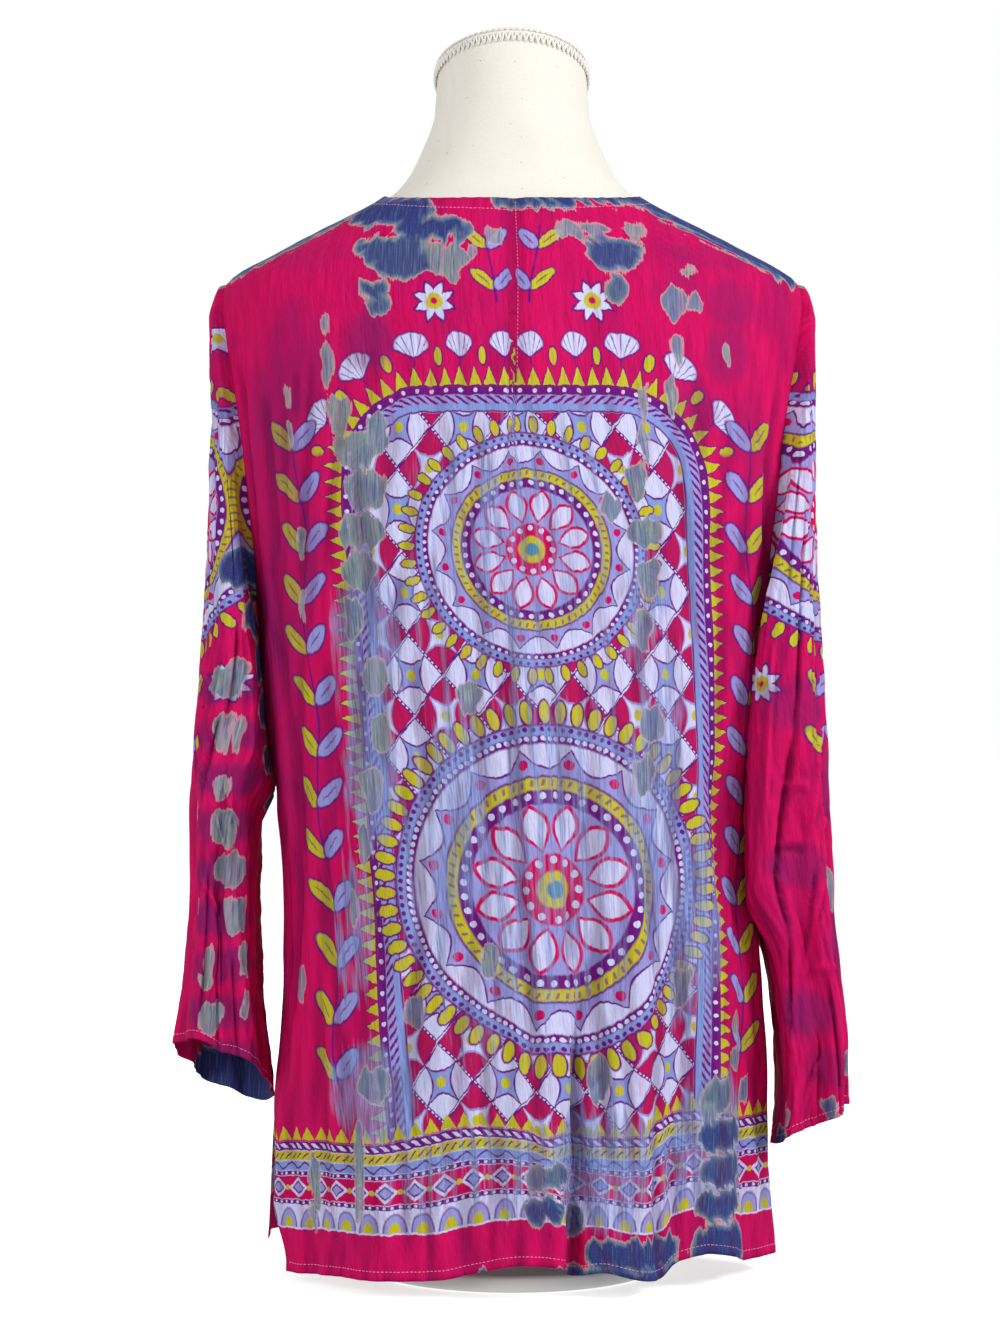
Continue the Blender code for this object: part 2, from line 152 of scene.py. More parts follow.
# %% [markdown]
# ## Smooth curves through short tables
#
# A garment is known by a few measures: how wide it is at the chest, how deep at the waist. A table holds them, and
# a smooth curve through the table gives every height in between. The curve never swings past a value of the table,
# so no bulge appears that nobody asked for.

# %% Curves, fades and soft bumps
def smooth_table(xs, ys, x):
    """Values of a smooth curve through the points (xs, ys), which never swings past a point of the table."""
    xs, ys = np.asarray(xs, float), np.asarray(ys, float)
    step = np.diff(xs)
    slope = np.diff(ys) / step
    tangent = np.zeros_like(ys)
    same_way = slope[:-1] * slope[1:] > 0
    mean = 2 * slope[:-1] * slope[1:] / np.where(same_way, slope[:-1] + slope[1:], 1)
    tangent[1:-1] = np.where(same_way, mean, 0)
    tangent[0], tangent[-1] = slope[0], slope[-1]
    x = np.clip(x, xs[0], xs[-1])
    i = np.clip(np.searchsorted(xs, x, side="right") - 1, 0, len(step) - 1)
    t = (x - xs[i]) / step[i]
    rise = ys[i + 1] - ys[i]
    return (ys[i] + rise * t * t * (3 - 2 * t)
            + step[i] * (tangent[i] * t * (1 - t) ** 2 - tangent[i + 1] * t * t * (1 - t)))


def ease(t):
    """0 below 0, 1 above 1 and a smooth rise between."""
    t = np.clip(t, 0, 1)
    return t * t * (3 - 2 * t)


def bump(distance, spread):
    """1 in the middle and 0 from the half width on."""
    t = np.clip(np.abs(distance) / spread, 0, 1)
    return (1 - t * t) ** 2


def ripple(x, y, size_x, size_y, seed):
    """Soft random relief between about -1 and 1: a sum of waves whose crests are size_y long and size_x apart."""
    chance = np.random.default_rng(seed)
    total = np.zeros_like(x)
    for _ in range(14):
        fast, slow = chance.uniform(0.6, 1.5, 2)
        turn = chance.uniform(0, 2 * math.pi)
        lean = chance.choice([-1, 1])
        total += np.sin(x / size_x * fast * 2 * math.pi + lean * y / size_y * slow * 2 * math.pi + turn)
    return total / 4

# %% [markdown]
# ## The measures of the tunic and the form
#
# All sizes are in millimetres above the floor. At each height the worn cloth is an oval with its own half width
# and its own depth at the back and the front. The same tables shaped the solids of the frame, so what is made from
# them lies where the solids are.

# %% Measures
NECK_SIDE = 781
NECK_MIDDLE = {"back": 770, "front": 702}
SHOULDER_TIP = 717
UNDERARM = 485
ARMHOLE_HALF_DEPTH = 40
VENT_TOP = 150
SEAM = 0.1                  # half the space left at a seam
CLOTH_WALL = 0.6

CLOTH_SECTIONS = {
    "height":     [0, 80, 150, 205, 240, 285, 345, 375, 420, 485, 560, 620,
                   660, 690, 705, 718, 728, 738, 748, 758, 768, 778, 790],
    "half_width": [184, 180, 176.5, 174.5, 173, 169.5, 172, 178, 183, 187, 202, 211,
                   216, 217, 214, 207, 192, 173, 154.5, 135, 115, 96, 82],
    "back":       [140, 135, 130, 127, 125, 123, 121, 120.5, 120, 119, 118, 115,
                   110, 102, 98, 93, 88, 83, 77, 71.5, 66.5, 61.5, 58],
    "front":      [143, 140, 137, 135, 134, 133, 132, 132, 133, 134, 134, 122,
                   105, 91, 85, 78, 72, 66, 60.5, 56, 52.5, 50, 49],
    "shift":      [-4, -4, -5.5, -7, -6, -2, 0, 0, 0, 0, 0, 0,
                   0, 0, 0, 0, 0, 0, 0, 0, 0, 0, 0],
}
FORM_SECTIONS = {
    "height":     [85, 92, 110, 175, 270, 375, 470, 550, 610, 660, 700,
                   720, 735, 745, 755, 765, 778, 793, 815, 841, 863, 895],
    "half_width": [134, 142, 148, 160, 146, 122, 138, 154, 164, 178, 188,
                   182, 168, 154, 136.5, 117, 91.5, 77, 66, 57, 55, 55],
    "back":       [84, 90, 94, 102, 94, 80, 92, 102, 106, 103, 94,
                   86, 78, 73, 68, 63.5, 58, 54, 52, 51, 51, 51],
    "front":      [80, 86, 90, 96, 92, 86, 104, 125, 116, 97, 79,
                   69, 62, 57, 53, 50, 47, 46, 48, 50, 51, 51],
    "mid":        [0, 0, 0, 0, 0, 0, 0, 0, 0, 0, 0,
                   0, 0, 0, 0, 0, 0, -2, -6, -10, -14, -18],
}


def section_value(sections, name, height):
    """One column of a table of sections at any heights, or 0 where the table has no such column."""
    if name not in sections:
        return np.zeros_like(height)
    return smooth_table(sections["height"], sections[name], height)


def oval(sections, angle, height):
    """A point of the surface of sections. The angle runs from +X over the back, +Y, to -X."""
    value = {name: section_value(sections, name, height) for name in ("half_width", "back", "front", "mid", "shift")}
    depth = np.where(np.sin(angle) >= 0, value["back"], value["front"])
    across = value["shift"] + value["half_width"] * np.cos(angle)
    return np.stack([across, value["mid"] + depth * np.sin(angle), height + 0 * angle], -1)

print("cloth", max(CLOTH_SECTIONS["half_width"]) * 2, "mm across at its widest")

# %% [markdown]
# ## The panels
#
# A worn panel is flat cloth bent round the body. It is written as one function of two parameters. The first runs
# across from the wearer's left side seam to the right one. The second runs down: 0 to 3 along the shoulder seam, 3
# to 13 down the armhole and 13 to 14 from the underarm to the hem. Across a row the height sags or rises towards
# the middle, which draws the neckline at the top and the hem at the bottom.

# %% Folds, hems and vents
BACK_HEM = {
    "angle":  [0, 30, 45, 60, 72, 81, 92, 100, 104, 109, 116, 123, 129, 136, 145, 156, 180],
    "height": [8, 7, 10, 11, 13, 19, 26, 21, 14, 18, 13, 11, 20, 25, 20, 13, 14],
}
FRONT_HEM = {
    "angle":  [0, 18, 36, 55, 75, 95, 112, 130, 148, 165, 180],
    "height": [17, 19, 14, 12, 15, 12, 14, 11, 15, 18, 16],
}
VENT_SWING = {"back": (27, 3), "front": (3, 10)}   # degrees at the left and right vent
# Each fold: angle, half width in degrees, height out (+) or in (-) at the hem, height where it begins.
BACK_FOLDS = [
    (22, 7, 6, 470), (37, 6, -5, 380), (57, 9, 5, 330), (78, 9, -4, 300), (92, 7, 9, 620), (104, 6, -15, 420),
    (116, 7, 9, 400), (129, 6, -8, 340), (142, 7, 8, 430), (156, 6, -6, 380), (169, 6, 5, 470),
]
FRONT_FOLDS = [
    (14, 7, 5, 460), (33, 9, -8, 430), (54, 9, 8, 520), (75, 8, -6, 380), (95, 9, 6, 400), (115, 9, -8, 450),
    (134, 9, 8, 520), (153, 8, -7, 420), (168, 6, 4, 460),
]
PLEAT = {"angle": 91, "spread": 2.6, "depth": 3.0, "stitched_to": 634, "gone_at": 430}


def fold_push(folds, degrees, height):
    """How far the hanging folds push the cloth out. Each grows from where it begins down to the hem."""
    push = np.zeros_like(degrees)
    for angle, spread, out, top in folds:
        grown = ease((top - height) / top) * 0.65 + 0.35 * ease((top - height) / 120)
        push += out * grown * bump(degrees - angle, spread)
    return push


def pleat_push(degrees, height):
    """The stitched pleat: a narrow valley that widens and fades below its stitching."""
    below = ease((PLEAT["stitched_to"] - height) / (PLEAT["stitched_to"] - PLEAT["gone_at"]))
    spread = PLEAT["spread"] * (1 + 2.5 * below)
    return -PLEAT["depth"] * (1 - below) * bump(degrees - PLEAT["angle"], spread)


def panel_surface(side, across, row):
    """Points of a panel. across is 0 to 1 from left to right, row is 0 to 14 from neckline to hem."""
    folds, hem = (BACK_FOLDS, BACK_HEM) if side == "back" else (FRONT_FOLDS, FRONT_HEM)
    middle = (SHOULDER_TIP + UNDERARM) / 2
    half = (SHOULDER_TIP - UNDERARM) / 2
    upper = np.minimum(row, 13)
    down = np.maximum(row - 13, 0)
    on_shoulder = NECK_SIDE + (SHOULDER_TIP - NECK_SIDE) * upper / 3
    on_armhole = middle + half * np.cos(math.pi * (np.maximum(upper, 3) - 3) / 10)
    side_height = np.where(upper < 3, on_shoulder, on_armhole)
    depth = section_value(CLOTH_SECTIONS, side, side_height)
    inside = np.clip(1 - ((side_height - middle) / half) ** 2, 0, 1)
    hole = np.arcsin(ARMHOLE_HALF_DEPTH * np.sqrt(inside) / depth)
    seam = SEAM / depth
    swing = ease((VENT_TOP - UNDERARM * (1 - down)) / VENT_TOP)
    left, right = (math.radians(turn) for turn in VENT_SWING[side])
    first = np.maximum(hole, seam) + left * swing
    last = np.maximum(hole, seam) + right * swing
    angle = first + (math.pi - first - last) * across
    degrees = np.degrees(angle)
    centre_height = NECK_MIDDLE[side] + (UNDERARM - NECK_MIDDLE[side]) * upper / 13
    dip = 1 if side == "back" else 1.6
    height = side_height + (centre_height - side_height) * np.sin(math.pi * np.clip(across, 0, 1)) ** dip
    hem_height = smooth_table(hem["angle"], hem["height"], degrees)
    height = np.where(row > 13, UNDERARM + (hem_height - UNDERARM) * down, height)
    point = oval(CLOTH_SECTIONS, angle if side == "back" else -angle, height)
    push = fold_push(folds, degrees, height)
    if side == "back":
        push = push + pleat_push(degrees, height)
    radius = np.hypot(point[..., 0], point[..., 1])
    point[..., :2] *= (1 + push / radius)[..., None]
    return point


def panel_grid(side, columns, rows):
    """A grid of the panel's points. rows gives how many steps the shoulder, the armhole and the rest take."""
    row = np.concatenate([np.linspace(0, 3, rows[0] + 1), np.linspace(3, 13, rows[1] + 1)[1:],
                          np.linspace(13, 14, rows[2] + 1)[1:]])
    row, across = np.meshgrid(row, np.linspace(0, 1, columns + 1), indexing="ij")
    return panel_surface(side, across, row)

panels = {"back": panel_grid("back", 170, (14, 104, 132)), "front": panel_grid("front", 110, (10, 70, 90))}
for side, grid in panels.items():
    print(side, "panel", grid.shape[:2], "points, lowest", round(grid[..., 2].min(), 1), "mm")

# %% [markdown]
# ## The sleeves
#
# A sleeve is a tube. It starts on the armhole's own curve and soon leaves it for rings that slant from the outer
# line to the inner line. Where a ring would run through the body it is moved out, so the sleeve lies against it.

# %% Sleeve surface
SLEEVES = {
    "left": {
        "along":   [0, 0.04, 0.09, 0.15, 0.24, 0.38, 0.46, 0.55, 0.65, 0.8, 1],
        "outer_x": [207, 212.5, 216, 218, 218.5, 221.5, 224, 228.5, 233, 235.5, 246],
        "outer_z": [717, 712, 698, 674, 624, 534, 484, 424, 355, 262, 157],
        "inner_x": [188, 190.8, 190, 187, 180, 174, 172.5, 184.5, 185, 183, 174],
        "inner_z": [485, 483, 474, 462, 436, 382, 350, 318, 272, 208, 127],
        "half_y":  [40, 45, 49, 53, 57, 62, 64, 65, 65, 64, 62],
        "square":  0.0,
        "front_drop": 24,
    },
    "right": {
        "along":   [0, 0.04, 0.09, 0.15, 0.24, 0.38, 0.55, 0.66, 0.75, 0.9, 1],
        "outer_x": [207, 213, 217, 218.5, 219.5, 220.5, 226.5, 230.5, 233.5, 243, 244],
        "outer_z": [717, 712, 698, 674, 620, 524, 404, 330, 262, 160, 118],
        "inner_x": [188, 190.8, 188, 182, 172, 165, 165, 165, 187, 195, 192],
        "inner_z": [485, 483, 474, 462, 434, 372, 304, 268, 220, 138, 88],
        "half_y":  [40, 45, 50, 55, 61, 67, 68, 67, 65, 63, 62],
        "square":  0.3,
        "front_drop": 8,
    },
}
# Each fold: angle round the tube from its outer line towards the back, half width, height, where it begins.
SLEEVE_FOLDS = [
    (36, 17, -6, 0.15), (66, 16, 5, 0.20), (92, 17, -9, 0.20), (124, 18, 5, 0.30),
    (234, 18, 5, 0.30), (270, 18, -9, 0.22), (300, 16, 5, 0.20), (328, 17, -5, 0.18),
]
SLEEVE_FADE = 0.30
SLEEVE_CLEAR = 4.3          # space between a hanging sleeve and the panel it lies against


def side_of_body(side, across, height):
    """How far from the middle plane a panel reaches at these Y and heights, its folds included."""
    at = {name: section_value(CLOTH_SECTIONS, name, height) for name in ("half_width", "back", "front", "shift")}
    sine = np.clip(across / np.where(across >= 0, at["back"], at["front"]), -1, 1)
    degrees = np.degrees(np.arcsin(np.abs(sine)))
    if side == "right":
        degrees = 180 - degrees
    push = np.where(across >= 0, fold_push(BACK_FOLDS, degrees, height), fold_push(FRONT_FOLDS, degrees, height))
    shift = at["shift"] if side == "left" else -at["shift"]
    return shift + at["half_width"] * np.sqrt(1 - sine ** 2) + np.maximum(push, 0) * 1.1


def sleeve_ring(shape, along, turn, power):
    """Points of the hanging tube: an oval ring for each step along the sleeve, squarer as power falls."""
    at = {name: smooth_table(shape["along"], shape[name], along)
          for name in ("outer_x", "outer_z", "inner_x", "inner_z", "half_y")}
    cosine = np.sign(np.cos(turn)) * np.abs(np.cos(turn)) ** power
    sine = np.sign(np.sin(turn)) * np.abs(np.sin(turn)) ** power
    push = np.zeros_like(turn)
    for angle, spread, out, begins in SLEEVE_FOLDS:
        away = (np.degrees(turn) - angle + 180) % 360 - 180
        push += out * ease((along - begins) / (1 - begins)) * bump(away, spread)
    across = (at["half_y"] + push) * sine
    droop = shape["front_drop"] * along ** 3 * across / at["half_y"]
    slant = (at["outer_z"] - at["inner_z"]) / 2 * np.cos(turn)
    return np.stack([(at["outer_x"] + at["inner_x"]) / 2 + ((at["outer_x"] - at["inner_x"]) / 2 + push) * cosine,
                     across, (at["outer_z"] + at["inner_z"]) / 2 + slant + droop], -1)


def armhole_ring(grown, turn):
    """Points of the worn cloth on the armhole's curve, or outside it by a few millimetres, with their normals."""
    height = (SHOULDER_TIP + UNDERARM) / 2 + ((SHOULDER_TIP - UNDERARM) / 2 + grown) * np.cos(turn)
    across = (ARMHOLE_HALF_DEPTH + grown) * np.sin(turn)

    def reach(name, height):
        return section_value(CLOTH_SECTIONS, name, height)
    half_width = reach("half_width", height)
    depth = np.where(across >= 0, reach("back", height), reach("front", height))
    deeper = np.where(across >= 0, reach("back", height + 1), reach("front", height + 1)) - depth
    wider = reach("half_width", height + 1) - half_width
    sine = across / depth
    cosine = np.sqrt(1 - sine ** 2)
    upward = -(cosine ** 2 * wider / half_width + sine ** 2 * deeper / depth)
    outward = np.stack([cosine / half_width, sine / depth, upward], -1)
    outward /= np.linalg.norm(outward, axis=-1, keepdims=True)
    return np.stack([half_width * cosine, across, height], -1), outward


def sleeve_surface(side, turn, along):
    """Points of a sleeve drawn on the left side. turn runs round it from the underarm, along runs down it."""
    shape = SLEEVES[side]
    power = 1 - shape["square"]
    start, outward = armhole_ring(0, turn)
    lap = 0.9 * ease((1 - np.cos(turn)) / 0.9) + 0.1
    rising = ease(along / 0.010)
    start += outward * (lap * rising - 0.8 * (1 - rising))[..., None]
    tucked, inward = armhole_ring(3, turn)
    start = np.where((along < 0)[..., None], tucked - inward * 1.3, start)
    leaving = start - sleeve_ring(shape, 0 * along, turn, power)
    ring = sleeve_ring(shape, np.maximum(along, 0), turn, power)
    ring += leaving * ((1 - ease(along / SLEEVE_FADE)) ** 2)[..., None]
    clear = SLEEVE_CLEAR * ease(along / 0.02)
    least = side_of_body(side, ring[..., 1], ring[..., 2]) + clear
    ring[..., 0] = np.where(along > 0.004, np.maximum(ring[..., 0], least), ring[..., 0])
    return ring


def sleeve_grid(side, columns, rings):
    """A sleeve's points. Column 0 lies at the underarm. The first ring is the seam allowance, turned in under
    the panels, and is told from the others by a share below 0."""
    along = np.concatenate([[-0.001, 0, 0.003, 0.006], np.linspace(0.009, 1, rings)])
    along, turn = np.meshgrid(along, np.linspace(-math.pi, math.pi, columns, endpoint=False), indexing="ij")
    grid = sleeve_surface(side, turn, along)
    if side == "right":
        grid[..., 0] *= -1
    return grid

sleeves = {side: sleeve_grid(side, 160, 236) for side in ("left", "right")}
for side, grid in sleeves.items():
    print(side, "sleeve", grid.shape[:2], "points, out to", round(np.abs(grid[..., 0]).max(), 1), "mm")

# %% [markdown]
# ## Creases, hems and crinkles
#
# Crinkled rayon never hangs smooth. The long creases are listed in a table, each one a line with a width and a
# height. Turned hems leave a raised strip with a groove where the stitches pull it in, and a seam lies in a small
# valley. Over all of it goes a soft ripple whose crests run down the cloth.

# %% Relief of the panels and sleeves
# Each crease: X and Z of its upper end, X and Z of its lower end, half width, height out (+) or in (-).
BACK_CREASES = [
    (197, 658, 183, 512, 6, -1.6), (188, 640, 176, 500, 5, 0.9), (176, 636, 168, 512, 6, -1.5),
    (164, 625, 160, 512, 5, -1.2), (153, 648, 152, 600, 5, -1.0), (150, 470, 158, 180, 8, -1.6),
    (136, 430, 146, 90, 9, 1.4), (60, 420, 72, 60, 9, -1.5), (28, 560, 14, 240, 9, -1.3),
    (8, 470, -22, 60, 10, -2.2), (-14, 480, -44, 70, 9, 1.8), (-52, 400, -66, 40, 9, -1.8),
    (-84, 380, -96, 60, 9, 1.5), (-112, 420, -124, 60, 9, -1.6), (-150, 560, -146, 260, 8, -1.4),
    (-176, 600, -166, 330, 8, 1.2), (-120, 600, -128, 440, 8, -0.9), (100, 560, 112, 330, 9, -1.0),
    (-60, 300, -30, 150, 7, 1.0), (40, 250, 56, 120, 8, 1.2), (-190, 640, -178, 520, 6, -1.3),
    (142, 660, 150, 480, 5, -1.4), (128, 640, 140, 440, 5, 1.1), (168, 470, 150, 300, 6, -1.6),
    (150, 300, 166, 120, 6, -1.4), (132, 240, 120, 60, 6, 1.3), (-40, 150, -60, 20, 7, -1.8),
    (-20, 170, -34, 20, 6, 1.6), (-76, 190, -88, 20, 7, -1.5), (84, 170, 70, 20, 7, -1.4),
    (30, 160, 20, 20, 7, 1.3), (-146, 220, -136, 40, 6, 1.4), (-158, 420, -148, 250, 6, -1.3),
    (182, 560, 170, 460, 4, 1.2), (190, 600, 180, 500, 4, -1.2), (-2, 320, -18, 160, 8, -1.4),
    (-42, 190, -43, -30, 5, -2.6), (-33, 200, -31, -30, 6, 1.5), (-54, 180, -55, -30, 6, 1.3),
    (-96, 140, -106, -20, 6, -1.4), (-118, 130, -124, -20, 6, 1.3), (60, 130, 56, -20, 6, -1.3),
]
FRONT_CREASES = [
    (-90, 640, -110, 200, 12, -2.0), (-30, 620, -40, 120, 12, 1.6), (50, 600, 60, 150, 12, -1.8),
    (110, 620, 130, 180, 12, 1.5),
]
# The same for the sleeves: turn round the tube in degrees and share of the way down, at both ends.
SLEEVE_CREASES = {
    "left": [
        (132, 0.22, 146, 0.44, 8, -3.6), (146, 0.44, 150, 0.70, 8, -3.0), (112, 0.26, 120, 0.50, 7, 2.2),
        (96, 0.30, 84, 0.50, 7, -3.2), (84, 0.48, 52, 0.70, 7, -3.8), (52, 0.68, 28, 0.84, 6, -3.0),
        (60, 0.40, 44, 0.62, 6, 2.0), (108, 0.52, 104, 0.80, 7, 2.4), (122, 0.60, 128, 0.90, 7, -2.8),
        (76, 0.72, 70, 0.98, 7, -2.8), (92, 0.78, 96, 1.02, 6, 2.2), (44, 0.82, 40, 1.02, 6, 2.0),
        (110, 0.82, 112, 1.02, 6, -2.2), (30, 0.30, 24, 0.52, 6, -2.2), (50, 0.14, 46, 0.34, 6, -1.8),
        (84, 0.10, 90, 0.28, 6, -2.0), (36, 0.46, 64, 0.50, 4, 1.7), (44, 0.53, 74, 0.57, 4, -1.8),
        (40, 0.60, 66, 0.62, 4, 1.6), (96, 0.56, 120, 0.60, 4, 1.5), (30, 0.66, 56, 0.68, 4, -1.6),
        (84, 0.64, 108, 0.66, 4, 1.5), (60, 0.76, 90, 0.79, 4, 1.4), (38, 0.88, 64, 0.90, 4, -1.4),
        (-60, 0.20, -72, 0.90, 9, -2.4), (-100, 0.25, -96, 0.95, 9, 2.0), (-30, 0.30, -44, 0.80, 8, 1.8),
    ],
    "right": [
        (60, 0.20, 84, 0.46, 8, -3.4), (83, 0.44, 112, 0.72, 8, -4.4), (110, 0.70, 142, 0.93, 8, -3.8),
        (98, 0.28, 112, 0.52, 9, 2.4), (122, 0.38, 136, 0.66, 8, -2.8), (24, 0.56, 66, 0.68, 6, -2.8),
        (40, 0.50, 74, 0.62, 5, 2.0), (70, 0.66, 96, 0.76, 5, -2.2), (60, 0.74, 40, 0.86, 6, -2.6),
        (76, 0.80, 66, 1.02, 7, -3.2), (96, 0.84, 92, 1.02, 7, 2.4), (34, 0.84, 22, 1.02, 6, -2.4),
        (50, 0.30, 58, 0.50, 6, -2.2), (30, 0.34, 26, 0.56, 6, 1.8), (108, 0.10, 120, 0.32, 7, -2.4),
        (80, 0.08, 88, 0.26, 6, -2.0), (96, 0.50, 70, 0.56, 4, 1.7), (104, 0.58, 78, 0.63, 4, -1.8),
        (60, 0.60, 36, 0.66, 4, 1.7), (52, 0.70, 80, 0.73, 4, -1.7), (88, 0.78, 60, 0.81, 4, 1.6),
        (46, 0.78, 70, 0.86, 4, -1.6), (20, 0.62, 44, 0.74, 4, -1.6), (86, 0.88, 110, 0.96, 5, -1.8),
        (-60, 0.20, -72, 0.90, 9, -2.4), (-100, 0.25, -96, 0.95, 9, 2.0), (-30, 0.30, -44, 0.80, 8, 1.8),
    ],
}


def crease_relief(x, y, creases):
    """Sum of the creases: each is a soft bump across a straight line, which fades out towards its ends."""
    relief = np.zeros_like(x)
    for x0, y0, x1, y1, width, out in creases:
        length = (x1 - x0) ** 2 + (y1 - y0) ** 2
        share = ((x - x0) * (x1 - x0) + (y - y0) * (y1 - y0)) / length
        nearest = np.clip(share, 0, 1)
        away = np.hypot(x - x0 - nearest * (x1 - x0), y - y0 - nearest * (y1 - y0))
        relief += out * bump(away, width) * ease(share * 5) * ease((1 - share) * 5)
    return relief


def lengths(grid, axis):
    """Distance walked along an axis of the grid, from its first point."""
    step = np.linalg.norm(np.diff(grid, axis=axis), axis=2)
    start = [1, grid.shape[1]] if axis == 0 else [grid.shape[0], 1]
    return np.concatenate([np.zeros(start), np.cumsum(step, axis)], axis)


def above_neighbours(relief, reach, around):
    """How far each point stands above (+) or below (-) the mean of its row within reach columns, from -1 to 1."""
    padded = np.pad(relief, ((0, 0), (reach + 1, reach)), mode="wrap" if around else "edge")
    total = np.cumsum(padded, 1)
    width = 2 * reach + 1
    mean = (total[:, width:] - total[:, :-width]) / width
    return np.tanh((relief - mean) / 1.1)


def hem_relief(distance, stitch):
    """A turned hem: a raised strip up to its stitches, which lie in a groove."""
    return 0.35 * ease((stitch + 2.5 - distance) / 2.5) - 0.55 * bump(distance - stitch, 1.8)

NECK_STITCH, HEM_STITCH, CUFF_STITCH = 10, 6.5, 6
PRINT_MIDDLE = {"left": 4, "right": 32}     # from the sleeve's outer line towards the back
uvs, walks, flats, folds = {}, {}, {}, {}
for side, grid in panels.items():
    down = lengths(grid, 0)
    up = down[-1:] - down
    across = lengths(grid, 1)
    from_side = np.minimum(across, across[:, -1:] - across)
    x, z = grid[..., 0], grid[..., 2]
    first = np.argmax(x < 0, axis=1)
    rows = np.arange(len(grid))
    share = x[rows, first - 1] / (x[rows, first - 1] - x[rows, first])
    middle = across[rows, first - 1] + share * (across[rows, first] - across[rows, first - 1])
    u = middle[:, None] - across
    flats[side] = u
    if side == "back":
        stitched = 1 - ease((PLEAT["stitched_to"] - z) / 90)
        u = u + 44 * np.clip((700 - z) / 600, 0, 1) + 6 * np.sign(u) * stitched
    from_hem = ease((300 - z) / 160)
    v = z * (1 - from_hem) + (up + 9) * from_hem
    uvs[side] = np.stack([u, v], -1) * MM
    relief = 1.9 * crease_relief(x, z, BACK_CREASES if side == "back" else FRONT_CREASES)
    relief += 0.90 * ripple(x, z, 24, 150, 3) * ease((720 - z) / 160) + 0.24 * ripple(x, z, 9, 60, 4)
    relief += 0.45 * ripple(x, z, 12, 90, 5) * ease((420 - z) / 300)
    relief += 1.3 * np.maximum(0.40 - np.abs(ripple(x, z, 70, 420, 13)), 0) * ease((560 - z) / 200)
    relief = np.where(z > 690, np.maximum(relief, -0.25), relief) * ease(from_side / 14)
    relief = np.where(np.abs(x) > 150, np.minimum(relief, 2.0), relief)
    if side == "back":
        beside_pleat = ease(np.abs(x) / 14) * ease((64 - np.abs(x)) / 44)
        relief += 1.5 * beside_pleat * ease((z - 600) / 50) * ease((778 - z) / 14)
    sewn = ease((z - VENT_TOP) / 12)
    relief += hem_relief(down, NECK_STITCH) + hem_relief(up, HEM_STITCH)
    relief -= 0.7 * bump(from_side, 5) * sewn
    # folds runs from -1 deep in a hollow to 1 high on a ridge. The cloth material paints shade and highlight from it.
    folds[side] = above_neighbours(relief, 5 if side == "back" else 3, False)
    panels[side] = grid + normals_of(grid) * (relief if side == "back" else -relief)[..., None]
    walks[side] = {"down": down, "up": up}

for side, grid in sleeves.items():
    down = lengths(grid, 0)
    up = down[-1:] - down
    around = np.concatenate([grid, grid[:, :1]], 1)
    walk = lengths(around * [1, 1, 0], 1)
    outer = walk[:, grid.shape[1] // 2][:, None]
    along = down / down[-1:]
    turn = np.degrees(np.linspace(-math.pi, math.pi, grid.shape[1], endpoint=False))[None] + 0 * down
    uvs[side] = np.stack([walk - outer - PRINT_MIDDLE[side], around[..., 2]], -1) * MM
    flats[side] = (walk - outer)[:, :-1]
    scale = 2.6
    creases = [(a * scale, b * 600, c * scale, d * 600, width * 1.4, out)
               for a, b, c, d, width, out in SLEEVE_CREASES[side]]
    relief = 1.6 * crease_relief(turn * scale, along * 600, creases)
    relief += 0.90 * ripple(grid[..., 1], grid[..., 2], 22, 150, 7 if side == "left" else 8)
    relief += 1.4 * np.maximum(0.45 - np.abs(ripple(turn * scale, along * 600, 60, 300, 12)), 0)
    relief += 0.45 * ripple(turn * scale / 3, along * 600, 10, 55, 9)
    against = np.abs(np.abs(turn) - 180) < 60
    relief = np.where(against & (along < 0.7), np.maximum(relief, -0.3), relief)
    relief = relief * ease((down - 6) / 25) + hem_relief(up, CUFF_STITCH)
    # As on the panels, folds feeds the painted shade and the painted highlight of the cloth.
    folds[side] = above_neighbours(relief, 6, True)
    outward = normals_of(grid, True) * (1 if side == "left" else -1)
    sleeves[side] = grid + outward * relief[..., None]
    walks[side] = {"down": down, "up": up}
print("hem about", round(walks["back"]["down"][-1, 85]), "mm below the neckline at the centre back")

# %% [markdown]
# ## Where the dyes went
#
# The cloth was dyed by hand over its print, so the marks repeat nowhere. Each is written as a row of a table: its
# place, its half size and how much it tapers towards its foot. The places are those seen from behind; the nearest
# point of the grid turns each into a place on the flat cloth, where the marks keep their shape round the sides.
# From these rows every point of the cloth gets one number, the distance to the nearest edge of a mark, positive
# inside it. The material turns that number into a pale outline and a colour that deepens inwards. Two more numbers
# hold dusky shade or the thin blue wash, and how navy the nearest mark is.

